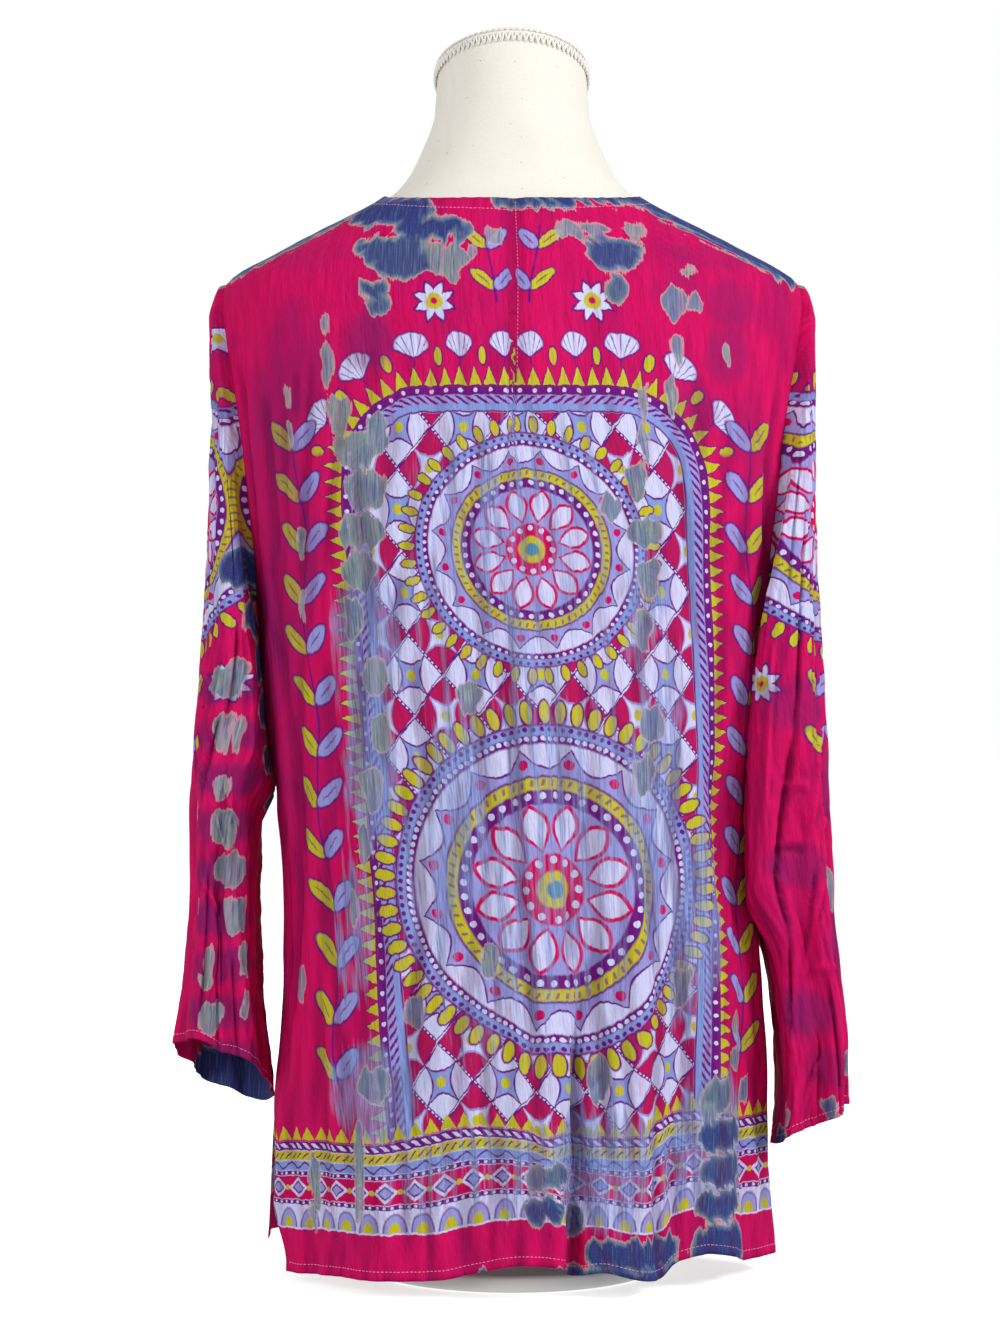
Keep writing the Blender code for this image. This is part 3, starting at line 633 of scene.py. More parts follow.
# %% Dye marks
BACK_DYES = [   # X, Z, half width, half height, taper, how navy
    (88, 763, 36, 11, 0.1, 1), (60, 748, 26, 9, 0.3, 1), (35, 744, 8, 8, 0.3, 0.7), (86, 732, 27, 10, 0.1, 0.9),
    (78, 720, 24, 11, 0.5, 0.9), (48, 724, 16, 11, 0.2, 0.1), (44, 711, 7, 7, 0.8, 0), (97, 702, 12, 7, 0.2, 0.9),
    (95, 690, 10, 10, 0.8, 0.7), (14, 740, 7, 7, 0.4, 0), (27, 728, 4, 5, 0.2, 0), (-40, 746, 11, 7, 0.4, 0),
    (-60, 745, 9, 7, 0.4, 0.1), (-88, 747, 10, 5, 0.3, 0), (-73, 728, 22, 12, 0.3, 0.9),
    (-73, 700, 9, 12, 0.8, 0.7), (-113, 692, 10, 12, 0.3, 0.2), (-15, 768, 32, 6, 0.1, 1),
    (-60, 772, 30, 5, 0.1, 1), (-124, 717, 6, 4, 0.3, 0), (132, 676, 3, 8, 0.6, 0), (131, 647, 5, 16, 0.6, 0),
    (131, 621, 2, 5, 0.2, 0), (122, 612, 8, 15, 0.5, 0), (111, 588, 17, 12, 0.2, 0.1), (96, 598, 8, 16, 0.4, 0),
    (104, 560, 16, 14, 0.2, 0.15), (106, 532, 17, 12, 0.1, 0.2), (107, 503, 14, 14, 0.3, 0.1),
    (112, 470, 8, 15, 0.3, 0.1), (-115, 657, 4.5, 13, 0.7, 0), (-112, 626, 4, 14, 0.6, 0),
    (-92, 621, 2.5, 14, 0.4, 0), (-91, 590, 4, 14, 0.7, 0), (-86, 566, 9, 12, 0.3, 0.1),
    (-70, 548, 8, 10, 0.4, 0), (-92, 530, 14, 10, 0.2, 0.2), (-96, 498, 9, 14, 0.4, 0), (-92, 462, 6, 16, 0.4, 0),
    (-130, 693, 6, 7, 0.4, 0), (-151, 657, 3, 8, 0.5, 0), (-98, 396, 10, 13, 0.3, 0.1), (-92, 360, 9, 14, 0.3, 0.1),
    (96, 430, 10, 14, 0.3, 0.1), (92, 390, 8, 13, 0.3, 0), (98, 350, 9, 15, 0.4, 0), (104, 312, 5, 14, 0.5, 0),
    (-148, 135, 13, 13, 0.3, 0.5), (-152, 107, 24, 11, 0.1, 0.9), (-153, 82, 24, 11, 0.1, 0.8),
    (-152, 58, 26, 10, 0.1, 0.9), (-152, 29, 29, 16, 0, 1), (-30, 86, 14, 8, 0.2, 0.6),
    (-160, 182, 7, 9, 0.4, 0), (-160, 158, 9, 9, 0.3, 0.2), (-166, 134, 5, 11, 0.2, 0.6),
    (-138, 123, 6, 12, 0.4, 0), (-23, 63, 16, 9, 0.2, 0.9), (-17, 84, 8, 9, 0.3, 0.5), (-40, 52, 9, 12, 0.2, 0.6),
    (108, 84, 5, 36, 0.3, 0), (139, 65, 4, 27, 0.4, 0), (-64, 13, 110, 8, 0, 1), (-90, 30, 44, 11, 0.1, 1),
    (159, 627, 2.4, 9, 0.6, 0), (158, 600, 2.4, 10, 0.6, 0), (150, 524, 2.4, 12, 0.6, 0), (148, 480, 2, 12, 0.6, 0),
    (112, 266, 4, 14, 0.6, 0), (96, 144, 14, 13, 0.4, 0.1), (31, 414, 8, 12, 0.5, 0), (66, 196, 7, 12, 0.5, 0),
    (-60, 150, 8, 16, 0.4, 0.2), (16, 232, 6, 14, 0.5, 0), (-120, 210, 6, 15, 0.4, 0.1), (150, 210, 5, 14, 0.5, 0),
]
SHOULDER_BAND = {"left": 3.0, "right": 8.0}
FRONT_DYES = [(-x, z - (66 if z > 690 and abs(x) < 100 else 10), *shape) for x, z, *shape in BACK_DYES]
SLEEVE_DYES = {
    "left": [
        (204, 426, 10, 12, 0.3, 0.1), (196, 428, 5, 14, 0.3, 0), (209, 389, 2.6, 13, 0.5, 0),
        (203, 390, 2.2, 15, 0.5, 0), (196, 388, 2.2, 13, 0.5, 0), (207, 351, 4, 9, 0.1, 0),
        (205, 322, 9, 13, 0.1, 0.1), (200, 292, 12, 13, 0.1, 0.1), (194, 259, 11, 14, 0.4, 0.1),
        (192, 228, 7, 13, 0.3, 0), (216, 226, 3, 13, 0, 0), (218, 212, 6, 5, 0.3, 0), (214, 186, 10, 12, 0.2, 0.1),
        (189, 196, 3, 9, 0.4, 0), (224, 262, 4, 8, 0.3, 0), (226, 330, 2, 9, 0.4, 0),
        (180, 508, 12, 15, 0.1, 1), (177, 474, 11, 14, 0.1, 1), (175, 440, 11, 14, 0.1, 1),
        (174, 406, 10, 14, 0.1, 1), (173, 372, 10, 13, 0.1, 1), (174, 340, 8, 12, 0.2, 0.9),
    ],
    "left_front": [(200, 130, 60, 22, 0, 1), (176, 190, 16, 20, 0.2, 0.6), (230, 190, 12, 18, 0.3, 0.5)],
    "right": [
        (229, 276, 4, 16, 0.4, 0.2), (240, 150, 8, 9, 0.3, 0.4), (226, 122, 8, 8, 0.3, 0.6),
        (207, 92, 20, 13, 0, 1), (196, 114, 6, 8, 0.3, 0.5), (236, 108, 14, 9, 0, 0.8), (236, 240, 2, 20, 0.4, 0),
    ],
    "right_front": [(210, 96, 50, 18, 0, 1), (232, 200, 10, 16, 0.3, 0.5), (200, 250, 12, 16, 0.3, 0.3)],
}
BACK_DUSK = [   # X, Z, half width, half height, strength
    (101, 666, 26, 26, 0.8), (160, 636, 30, 34, 0.6), (172, 560, 34, 90, 0.7), (150, 520, 26, 70, 0.6),
    (168, 392, 30, 130, 0.6), (-116, 699, 26, 22, 0.6), (-153, 694, 26, 22, 0.7), (-151, 657, 24, 26, 0.7),
    (-128, 618, 22, 26, 0.6), (-172, 500, 26, 160, 0.35), (-150, 730, 60, 14, 0.5), (150, 730, 60, 14, 0.5),
    (-40, 700, 30, 40, 0.3), (180, 220, 26, 120, 0.5), (60, 660, 40, 40, 0.35), (150, 660, 40, 50, 0.5),
    (172, 460, 16, 90, 0.8), (156, 560, 12, 80, 0.7), (150, 330, 14, 90, 0.6), (-170, 600, 20, 50, 0.5),
    (-160, 330, 20, 100, 0.4), (0, 740, 60, 20, 0.3),
]
BACK_WASH = [
    (104, 450, 28, 70, 0.7), (100, 360, 24, 60, 0.7), (112, 250, 20, 60, 0.6), (40, 330, 26, 110, 0.5),
    (-20, 400, 30, 120, 0.4), (-100, 340, 26, 120, 0.6), (-128, 250, 26, 80, 0.7), (96, 140, 40, 40, 0.7),
    (-60, 90, 50, 50, 0.6), (20, 520, 30, 60, 0.4), (-90, 480, 20, 60, 0.5), (-140, 100, 40, 50, 0.7),
    (60, 80, 40, 30, 0.4), (-152, 96, 30, 60, 0.95), (-40, 96, 26, 40, 0.8), (-10, 300, 110, 150, 0.42), (0, 520, 90, 110, 0.36), (-40, 90, 150, 40, 0.42),
]
SLEEVE_DUSK = {
    "left": [(205, 640, 40, 50, 0.5)] + [(205, 422 - 33 * row, 46, 14, 0.95) for row in range(9)],
    "right": [
        (224, 640, 40, 50, 0.5), (225, 470, 34, 26, 0.8), (205, 410, 34, 24, 0.8), (228, 350, 30, 30, 0.9),
        (205, 296, 30, 20, 0.8), (230, 240, 34, 30, 0.9), (208, 190, 34, 20, 0.8), (228, 150, 30, 18, 0.8),
    ],
}


def unrolled(rows, x, z, flat, kept):
    """The rows with their X turned into a distance across the flat cloth, read at the nearest kept point."""
    places = [np.argmin(np.hypot(x - row[0], z - row[1]) + np.where(kept, 0, 1000)) for row in rows]
    return [(flat.ravel()[place], *row[1:]) for place, row in zip(places, rows)]


def shoulder_band(x, z):
    """How far inside the navy band along the shoulder seam each point lies, in millimetres. It is wider at the right."""
    seam_height = NECK_SIDE - (np.abs(x) - 82) * 0.512
    band = np.where(x < 0, SHOULDER_BAND["right"], SHOULDER_BAND["left"]) * ease((207 - np.abs(x)) / 3)
    return band - (seam_height - z) * 0.89


def dye_distance(x, z, marks, band):
    """Distance in millimetres to the nearest edge of a mark, positive inside, and how navy that mark is. A mark
    is a rounded box. The distance to the band along the shoulder is where the search starts."""
    best = band
    navy = np.ones(x.shape)
    for mark_x, mark_z, half_width, half_height, taper, how_navy in marks:
        width = half_width * (1 - taper * np.clip((mark_z - z) / half_height, 0, 1))
        corner = 0.9 * min(half_width, half_height)
        over_x = np.abs(x - mark_x) - width + corner
        over_z = np.abs(z - mark_z) - half_height + corner
        outside = np.hypot(np.maximum(over_x, 0), np.maximum(over_z, 0))
        inside = corner - outside - np.minimum(np.maximum(over_x, over_z), 0)
        navy = np.where(inside > best, how_navy, navy)
        best = np.maximum(best, inside)
    return best, navy


def soft_patches(x, z, patches):
    """The strongest of the soft patches at each point, from 0 to 1."""
    best = np.zeros(x.shape)
    for patch_x, patch_z, half_width, half_height, strength in patches:
        away = np.hypot((x - patch_x) / half_width, (z - patch_z) / half_height)
        best = np.maximum(best, strength * ease((1.3 - away) / 0.8))
    return best


def dyes_of(flat, x, z, marks, dusk, wash):
    """The numbers of each point: distance to a mark in centimetres, dusk with wash, and how navy the mark is.
    Dusk and wash share one number: dusk below 0, wash above it."""
    across = flat + 1.3 * ripple(z, flat, 30, 45, 21)
    up = z + 2.6 * ripple(across, z, 13, 90, 22)
    distance, navy = dye_distance(across, up, marks, shoulder_band(x, up))
    shade = soft_patches(across, up, wash) - soft_patches(across, up, dusk)
    return np.stack([np.clip(distance / 10, -3, 3), shade, navy], -1)

dyes = {}
for side, marks in (("back", BACK_DYES), ("front", FRONT_DYES)):
    x, z, flat = panels[side][..., 0], panels[side][..., 2], flats[side]
    everywhere = np.ones(x.shape, bool)
    tables = [unrolled(rows, x, z, flat, everywhere) for rows in (marks, BACK_DUSK, BACK_WASH)]
    dyes[side] = dyes_of(flat, x, z, *tables)
for side, grid in sleeves.items():
    x, z, flat = np.abs(grid[..., 0]), grid[..., 2], flats[side]
    marks = (unrolled(SLEEVE_DYES[side], x, z, flat, grid[..., 1] > 0)
             + unrolled(SLEEVE_DYES[side + "_front"], x, z, flat, grid[..., 1] < 0))
    dusk = (unrolled(SLEEVE_DUSK[side], x, z, flat, grid[..., 1] > 0)
            + unrolled(SLEEVE_DUSK[side], x, z, flat, grid[..., 1] < 0))
    dyes[side] = dyes_of(flat, x, z, marks, dusk, [])
print("inside a mark:", round(float((dyes["back"][..., 0] > 0).mean()) * 100), "% of the back")

# %% [markdown]
# ## Writing a material as sums
#
# A node tree for a printed pattern is a lot of arithmetic. One small class wraps a node's output, so that a + b or
# 2 * a makes the Math node for it. Everything else, such as a noise or a colour mix, comes from one method that
# takes the node's type, its settings and its values.

# %% A socket that can be added and multiplied
class Socket:
    """An output of a node. Arithmetic with it makes Math nodes."""

    def __init__(self, output):
        self.output = output
        self.tree = output.id_data

    @classmethod
    def make(cls, tree, kind, settings, values, output=0):
        """A new node of that type. values gives its inputs by name or number: numbers, tuples or sockets."""
        node = tree.nodes.new(kind)
        for name, value in settings.items():
            setattr(node, name, value)
        for name, value in values.items():
            if isinstance(value, cls):
                tree.links.new(value.output, node.inputs[name])
            else:
                node.inputs[name].default_value = value
        return cls(node.outputs[output])

    def math(self, operation, first, second=0.0, clamp=False):
        return Socket.make(self.tree, "ShaderNodeMath", {"operation": operation, "use_clamp": clamp},
                           {0: first, 1: second})

    def __add__(self, other):
        return self.math("ADD", self, other)

    def __radd__(self, other):
        return self.math("ADD", other, self)

    def __sub__(self, other):
        return self.math("SUBTRACT", self, other)

    def __rsub__(self, other):
        return self.math("SUBTRACT", other, self)

    def __mul__(self, other):
        return self.math("MULTIPLY", self, other)

    def __rmul__(self, other):
        return self.math("MULTIPLY", other, self)

    def __truediv__(self, other):
        return self.math("DIVIDE", self, other)

    def __rtruediv__(self, other):
        return self.math("DIVIDE", other, self)

    def __pow__(self, other):
        return self.math("POWER", self, other)

    def __neg__(self):
        return self.math("MULTIPLY", self, -1.0)

    def __abs__(self):
        return self.math("ABSOLUTE", self)

    def over(self, low):
        """1 above low, else 0."""
        return self.math("GREATER_THAN", self, low)

    def rise(self, soft):
        """0 at or below 0 and 1 from soft on."""
        return self.math("DIVIDE", self, soft, clamp=True)

    def maximum(self, other):
        return self.math("MAXIMUM", self, other)

    def minimum(self, other):
        return self.math("MINIMUM", self, other)

    def arctan(self, other):
        """The angle whose tangent is this value over the other."""
        return self.math("ARCTAN2", self, other)

    def fraction(self):
        return self.math("FRACT", self)

    def tooth(self):
        """A zigzag between 0 and 1 that is 0 at the middle of each whole step."""
        return abs(self.fraction() - 0.5) * 2

    def wave(self):
        return self.math("SINE", self)


def srgb(red, green, blue):
    """A colour as a screen shows it, 0 to 255, turned into the linear values that shaders use."""
    share = np.array([red, green, blue]) / 255
    return (*np.where(share < 0.04045, share / 12.92, ((share + 0.055) / 1.055) ** 2.4).tolist(), 1.0)


def mix(factor, below, above):
    """The colour above laid over the colour below, as thick as factor."""
    tree = factor.tree
    return Socket.make(tree, "ShaderNodeMix", {"data_type": "RGBA"}, {0: factor, 6: below, 7: above}, 2)


def noise(tree, vector, scale, detail=2.0, rough=0.5):
    return Socket.make(tree, "ShaderNodeTexNoise", {"noise_dimensions": "3D"},
                       {"Vector": vector, "Scale": scale, "Detail": detail, "Roughness": rough})


def vector_of(tree, x, y, z=0.0):
    return Socket.make(tree, "ShaderNodeCombineXYZ", {}, {0: x, 1: y, 2: z})


def empty_tree(name):
    """A new material with one Principled shader, and that shader's node."""
    material = bpy.data.materials.new(name)
    material.use_nodes = True
    return material, material.node_tree, material.node_tree.nodes["Principled BSDF"]

MAGENTA = srgb(198, 4, 88)
DEEP_MAGENTA = srgb(138, 12, 88)
LIGHT_MAGENTA = srgb(220, 18, 100)
NAVY = srgb(44, 52, 118)
SLATE = srgb(92, 116, 156)
OLIVE = srgb(122, 144, 142)
PALE_OLIVE = srgb(168, 176, 164)
PALE_EDGE = srgb(196, 174, 176)
# Painted shade, laid into the hollows of the folds.
PAINTED_FOLD_SHADE = srgb(82, 8, 66)
CRIMSON = srgb(178, 22, 88)
LILAC_BLUE = srgb(144, 160, 226)
LIGHT_BLUE = srgb(120, 160, 226)
LAVENDER = srgb(206, 216, 254)
YELLOW = srgb(192, 194, 26)
PURPLE = srgb(88, 22, 124)
TEAL = srgb(46, 148, 176)
DUSK = srgb(112, 26, 98)
print("magenta", [round(value, 3) for value in MAGENTA[:3]])

# %% [markdown]
# ## The print
#
# A block-printed tunic has a big figure on its back and bands at its hem. This print is a plain folk pattern of its
# own: a tall panel of diamond trellis with two round flowers, leafy stems beside it and a banded border. Each motif
# is a mask, a number between 0 and 1 worked out from the cloth's own coordinates, and is laid over the colours made
# so far before the next is begun. A little noise in the coordinates gives the edges of hand-printed blocks.

# %% Motifs
def between(value, low, high, soft):
    """1 where value lies between low and high, with soft edges."""
    return (value - low).rise(soft) * (high - value).rise(soft)


def blob(x, y, half_x, half_y, soft=0.25):
    """1 inside an oval of these half sizes."""
    spot = (x / half_x) ** 2.0 + (y / half_y) ** 2.0
    return (1.0 - spot).rise(soft)


def rosette(colour, u, v, centre, size):
    """A round flower of rings: leaves, dots, a zigzag, a dashed band, checks and petals, from the outside in."""
    dv = v - centre
    radius = ((u * u + dv * dv) ** 0.5) / size
    turn = u.arctan(dv) / (2 * math.pi) + 0.5
    count = float(round(size * 480))
    step = turn * count
    width = radius * (math.pi / count)
    across = step.tooth() * width
    colour = mix(blob(across, radius - 0.935, 0.042, 0.075), colour, PURPLE)
    colour = mix(blob(across, radius - 0.935, 0.031, 0.062), colour, YELLOW)
    colour = mix((0.880 - radius).rise(0.012), colour, PURPLE)
    colour = mix((0.868 - radius).rise(0.012), colour, LIGHT_BLUE)
    dots = blob((step * 2.0).tooth() * width * 0.5, radius - 0.845, 0.014, 0.014)
    colour = mix(dots, colour, PURPLE)
    colour = mix((0.818 - radius).rise(0.012), colour, PURPLE)
    dots = blob((step * 2.0).tooth() * width * 0.5, radius - 0.797, 0.015, 0.014)
    colour = mix(dots, colour, LAVENDER)
    colour = mix((0.775 - radius).rise(0.012), colour, LAVENDER)
    arch = (turn * 16.0).tooth()
    lobe = 0.745 - (1.0 - (1.0 - arch) ** 2.0) * 0.105
    colour = mix((lobe - radius).rise(0.010), colour, LILAC_BLUE)
    colour = mix((0.010 - abs(radius - lobe)).rise(0.006), colour, PURPLE)
    dots = blob((turn * 16.0).tooth() * radius * 0.196, radius - 0.665, 0.030, 0.030)
    colour = mix(dots, colour, MAGENTA)
    colour = mix((0.610 - radius).rise(0.012), colour, PURPLE)
    colour = mix((0.597 - radius).rise(0.012), colour, YELLOW)
    dashes = ((turn * 64.0 + radius * 6.0).tooth() - 0.62).rise(0.15) * between(radius, 0.545, 0.585, 0.006)
    colour = mix(dashes * 0.7, colour, PURPLE)
    colour = mix((0.535 - radius).rise(0.012), colour, PURPLE)
    colour = mix(blob((turn * 40.0).tooth() * radius * 0.0785, radius - 0.498, 0.020, 0.020), colour, LAVENDER)
    colour = mix((0.460 - radius).rise(0.012), colour, LILAC_BLUE)
    petal = (turn * 12.0).tooth()
    shape = (abs((radius - 0.330) / 0.125)) ** 2.0
    colour = mix((1.15 - shape - petal * 1.15).rise(0.1), colour, MAGENTA)
    colour = mix((0.86 - shape * 1.1 - petal * 1.15).rise(0.1), colour, LAVENDER)
    colour = mix((0.200 - radius).rise(0.014), colour, MAGENTA)
    dots = blob((turn * 12.0 + 0.5).tooth() * radius * 0.26, radius - 0.160, 0.022, 0.022)
    colour = mix(dots, colour, LAVENDER)
    colour = mix((0.105 - radius).rise(0.014), colour, YELLOW)
    return mix((0.055 - radius).rise(0.014), colour, TEAL)


def stem(colour, side, v, middle, low, high, pitch, size=1.0):
    """A wavy upright stem with a yellow leaf and a blue one at each step. side is how far from the centre line."""
    lean = (v * (math.pi / (pitch * 2))).wave() * 0.004
    x = side - middle - lean
    inside = between(v, low, high, 0.002)
    colour = mix((0.0011 - abs(x)).rise(0.0006) * inside, colour, PURPLE)
    y = ((v / pitch).fraction() - 0.5) * pitch + 0.004
    for tilted, level, paint in (((x + y) * 0.7071, (x - y) * 0.7071, YELLOW),
                                 ((y - x) * 0.7071, (x + y) * 0.7071, LILAC_BLUE)):
        far = tilted - 0.0105 * size
        colour = mix(blob(far, level, 0.0120 * size, 0.0058 * size) * inside, colour, PURPLE)
        colour = mix(blob(far, level, 0.0105 * size, 0.0045 * size) * inside, colour, paint)
        colour = mix(blob(far, level, 0.0060 * size, 0.0007) * inside * 0.7, colour, PURPLE)
    return colour


def florets(colour, side, v, middle, low, high, pitch, size):
    """Small round flowers of eight petals in an upright column."""
    inside = between(v, low, high, 0.004)
    x = side - middle
    y = ((v / pitch).fraction() - 0.5) * pitch
    radius = ((x * x + y * y) ** 0.5) / size
    turn = x.arctan(y) / (2 * math.pi) + 0.5
    petal = 1.0 - (turn * 8.0).tooth() * 0.42
    colour = mix((petal + 0.10 - radius).rise(0.08) * inside, colour, PURPLE)
    colour = mix((petal - 0.06 - radius).rise(0.08) * inside, colour, LAVENDER)
    colour = mix((0.42 - radius).rise(0.08) * inside, colour, YELLOW)
    return mix((0.20 - radius).rise(0.08) * inside, colour, MAGENTA)


def beads(colour, along, v, middle, pitch, half, paint):
    """A row of round beads along a band."""
    return mix(blob((along / pitch).tooth() * (pitch / 2), v - middle, half, half), colour, paint)


def border(colour, u, v):
    """The bands of the hem, from the lowest up."""
    soft = 0.0006
    colour = mix(between(v, 0.0410, 0.1105, soft), colour, LAVENDER)
    fan = (u / 0.0200).tooth() * 0.0100
    above = (v - 0.0425).rise(0.0008)
    colour = mix(blob(fan, v - 0.0425, 0.0092, 0.0158) * above, colour, PURPLE)
    colour = mix(blob(fan, v - 0.0433, 0.0080, 0.0138) * above, colour, LILAC_BLUE)
    colour = mix(blob(fan, v - 0.0425, 0.0048, 0.0088) * above, colour, YELLOW)
    colour = mix(between(v, 0.0600, 0.0640, soft), colour, PURPLE)
    colour = beads(colour, u, v, 0.0620, 0.0056, 0.0013, LAVENDER)
    colour = mix(between(v, 0.0640, 0.0830, soft), colour, MAGENTA)
    row = abs(v - 0.0735) * 1.15
    diamond = 0.0098 - row - (u / 0.0210).tooth() * 0.0105
    colour = mix(diamond.rise(0.0008), colour, LAVENDER)
    colour = mix((diamond - 0.0030).rise(0.0008), colour, PURPLE)
    colour = mix((diamond - 0.0048).rise(0.0008), colour, LILAC_BLUE)
    colour = beads(colour, u + 0.0105, v, 0.0735, 0.0210, 0.0022, YELLOW)
    colour = mix(between(v, 0.0830, 0.0870, soft), colour, PURPLE)
    colour = beads(colour, u, v, 0.0850, 0.0056, 0.0013, LAVENDER)
    colour = mix(between(v, 0.0870, 0.0950, soft), colour, LIGHT_BLUE)
    wave = (u * 420.0).wave() * 0.0022 + 0.0910
    colour = mix((0.0011 - abs(v - wave)).rise(0.0006), colour, PURPLE)
    colour = mix(between(v, 0.0950, 0.1030, soft), colour, YELLOW)
    slanted = ((u + v) / 0.0060).tooth()
    colour = mix((slanted - 0.62).rise(0.2) * between(v, 0.0965, 0.1015, soft), colour, PURPLE)
    colour = mix(between(v, 0.1030, 0.1105, soft), colour, PURPLE)
    rope = (((u - v) / 0.0075).tooth() - 0.45).rise(0.15)
    colour = mix(rope * between(v, 0.1045, 0.1090, soft), colour, LAVENDER)
    tooth = 0.0115 - (v - 0.1105) - (u / 0.0120).tooth() * 0.0110
    return mix(tooth.rise(0.0008) * (v - 0.1112).rise(0.0006), colour, YELLOW)


def trellis(colour, u, v, inside):
    """Diamonds in two colours: flowers on the pale ones, dots on the magenta ones."""
    first = (u + v * 0.8) / 0.0460
    second = (u - v * 0.8) / 0.0460
    x = first.fraction() - 0.5
    y = second.fraction() - 0.5
    steps_apart = abs((first - x) - (second - y)) + 0.25
    pale = (steps_apart / 2).fraction().over(0.5)
    near = (x * x + y * y) ** 0.5
    cross = (abs(x * y) * 26.0 + near * 1.6)
    colour = mix(inside * (1.0 - pale), colour, CRIMSON)
    flower = (1.0 - cross).rise(0.12)
    colour = mix(flower * inside, colour, mix(pale, LILAC_BLUE, PURPLE))
    colour = mix((0.74 - cross).rise(0.12) * inside, colour, mix(pale, LAVENDER, LIGHT_BLUE))
    colour = mix((0.11 - near).rise(0.03) * inside, colour, YELLOW)
    edge = abs(x).maximum(abs(y))
    dotted = (((u + v) / 0.0050).tooth() - 0.35).rise(0.2)
    colour = mix((edge - 0.462).rise(0.012) * inside, colour, PURPLE)
    return mix((edge - 0.482).rise(0.008) * inside * dotted, colour, LAVENDER)


def garland(colour, length, out, inside):
    """Fans that open outwards from a line, with a bud between each pair and a stalk below each fan."""
    pitch = 0.0310
    along = (length / pitch + 0.155).tooth() * (pitch / 2)
    between_fans = pitch / 2 - along
    up = out - 0.0185
    colour = mix((0.0008 - along).rise(0.0005) * between(out, 0.0150, 0.0230, 0.0005) * inside, colour, PURPLE)
    colour = mix(blob(along, up - 0.0110, 0.0108, 0.0108) * (up - along * 0.9).rise(0.001) * inside, colour, PURPLE)
    colour = mix(blob(along, up - 0.0114, 0.0094, 0.0090) * (up - along * 0.9 - 0.0016).rise(0.001) * inside,
                 colour, LAVENDER)
    rays = ((along / (up + 0.004) * 5.0).tooth() - 0.72).rise(0.2)
    colour = mix(rays * blob(along, up - 0.0114, 0.0090, 0.0086) * inside * 0.8, colour, PURPLE)
    bud = blob(between_fans, up - 0.0030, 0.0038, 0.0080)
    colour = mix(bud * inside, colour, PURPLE)
    return mix(blob(between_fans, up - 0.0030, 0.0027, 0.0066) * inside, colour, YELLOW)


def column(colour, u, side, v, half, low, high, corner):
    """A tall panel with round upper corners: yellow teeth outside it, beads and a rope along it, trellis in it.
    Its outline is the distance to a rounded box, and a length along that outline spaces what repeats there."""
    over_side = side - (half - corner)
    over_top = v - (high - corner)
    x = over_side.maximum(0.0)
    y = over_top.maximum(0.0)
    deeper = over_side.maximum(over_top)
    out = ((x * x + y * y) ** 0.5) + deeper.minimum(0.0) - corner
    bend = y.arctan(x + 0.000001)
    length = (v - y) + bend * corner + (-over_side).maximum(0.0) * over_top.over(0.0)
    below = (v - low).rise(0.0008)
    colour = garland(colour, length, out, (v - (high - corner * 0.8)).rise(0.004))
    step = length / 0.0104
    tooth = step.tooth()
    point = 0.0150 - out - tooth * 0.0150
    colour = mix((point + 0.0012).rise(0.0008) * below * (out + 0.0005).rise(0.0005), colour, PURPLE)
    colour = mix((point - 0.0008).rise(0.0008) * below * (out - 0.0008).rise(0.0005), colour, YELLOW)
    colour = mix((0.0 - out).rise(0.0008) * below, colour, PURPLE)
    colour = mix(blob(tooth * 0.0052, out + 0.0028, 0.0017, 0.0017) * below, colour, LAVENDER)
    colour = mix((-0.0056 - out).rise(0.0008) * below, colour, LILAC_BLUE)
    rope = ((length * 0.7 + out) / 0.0050).tooth()
    colour = mix((rope - 0.45).rise(0.2) * (-0.0062 - out).rise(0.0006) * below, colour, PURPLE)
    colour = mix((-0.0118 - out).rise(0.0008) * below, colour, LIGHT_BLUE)
    colour = mix((-0.0165 - out).rise(0.0008) * below, colour, PURPLE)
    inner = (-0.0178 - out).rise(0.0008) * below
    colour = mix(inner, colour, LAVENDER)
    return trellis(colour, u, v, inner)


def panel_print(colour, u, v):
    """A column with two rosettes up the middle, stems and florets round it and the border at the hem."""
    side = abs(u)
    colour = column(colour, u, side, v, 0.133, 0.1105, 0.632, 0.060)
    colour = rosette(colour, u, v, 0.518, 0.094)
    colour = rosette(colour, u, v, 0.282, 0.132)
    colour = stem(colour, side, v, 0.172, 0.144, 0.612, 0.036, 1.35)
    colour = stem(colour, side, v, 0.022, 0.690, 0.750, 0.030)
    colour = florets(colour, side, v + 0.032, 0.062, 0.700, 0.750, 0.050, 0.0160)
    return border(colour, u, v)


def sleeve_print(colour, u, v):
    """One rosette on the outer line of the sleeve with stems at its sides and florets below it."""
    side = abs(u)
    colour = rosette(colour, u, v, 0.545, 0.104)
    colour = stem(colour, side, v, 0.020, 0.360, 0.440, 0.040, 1.25)
    colour = stem(colour, side, v, 0.118, 0.440, 0.680, 0.040, 1.25)
    colour = florets(colour, side, v, 0.066, 0.400, 0.450, 0.050, 0.0150)
    return florets(colour, side, v, 0.034, 0.650, 0.700, 0.050, 0.0150)
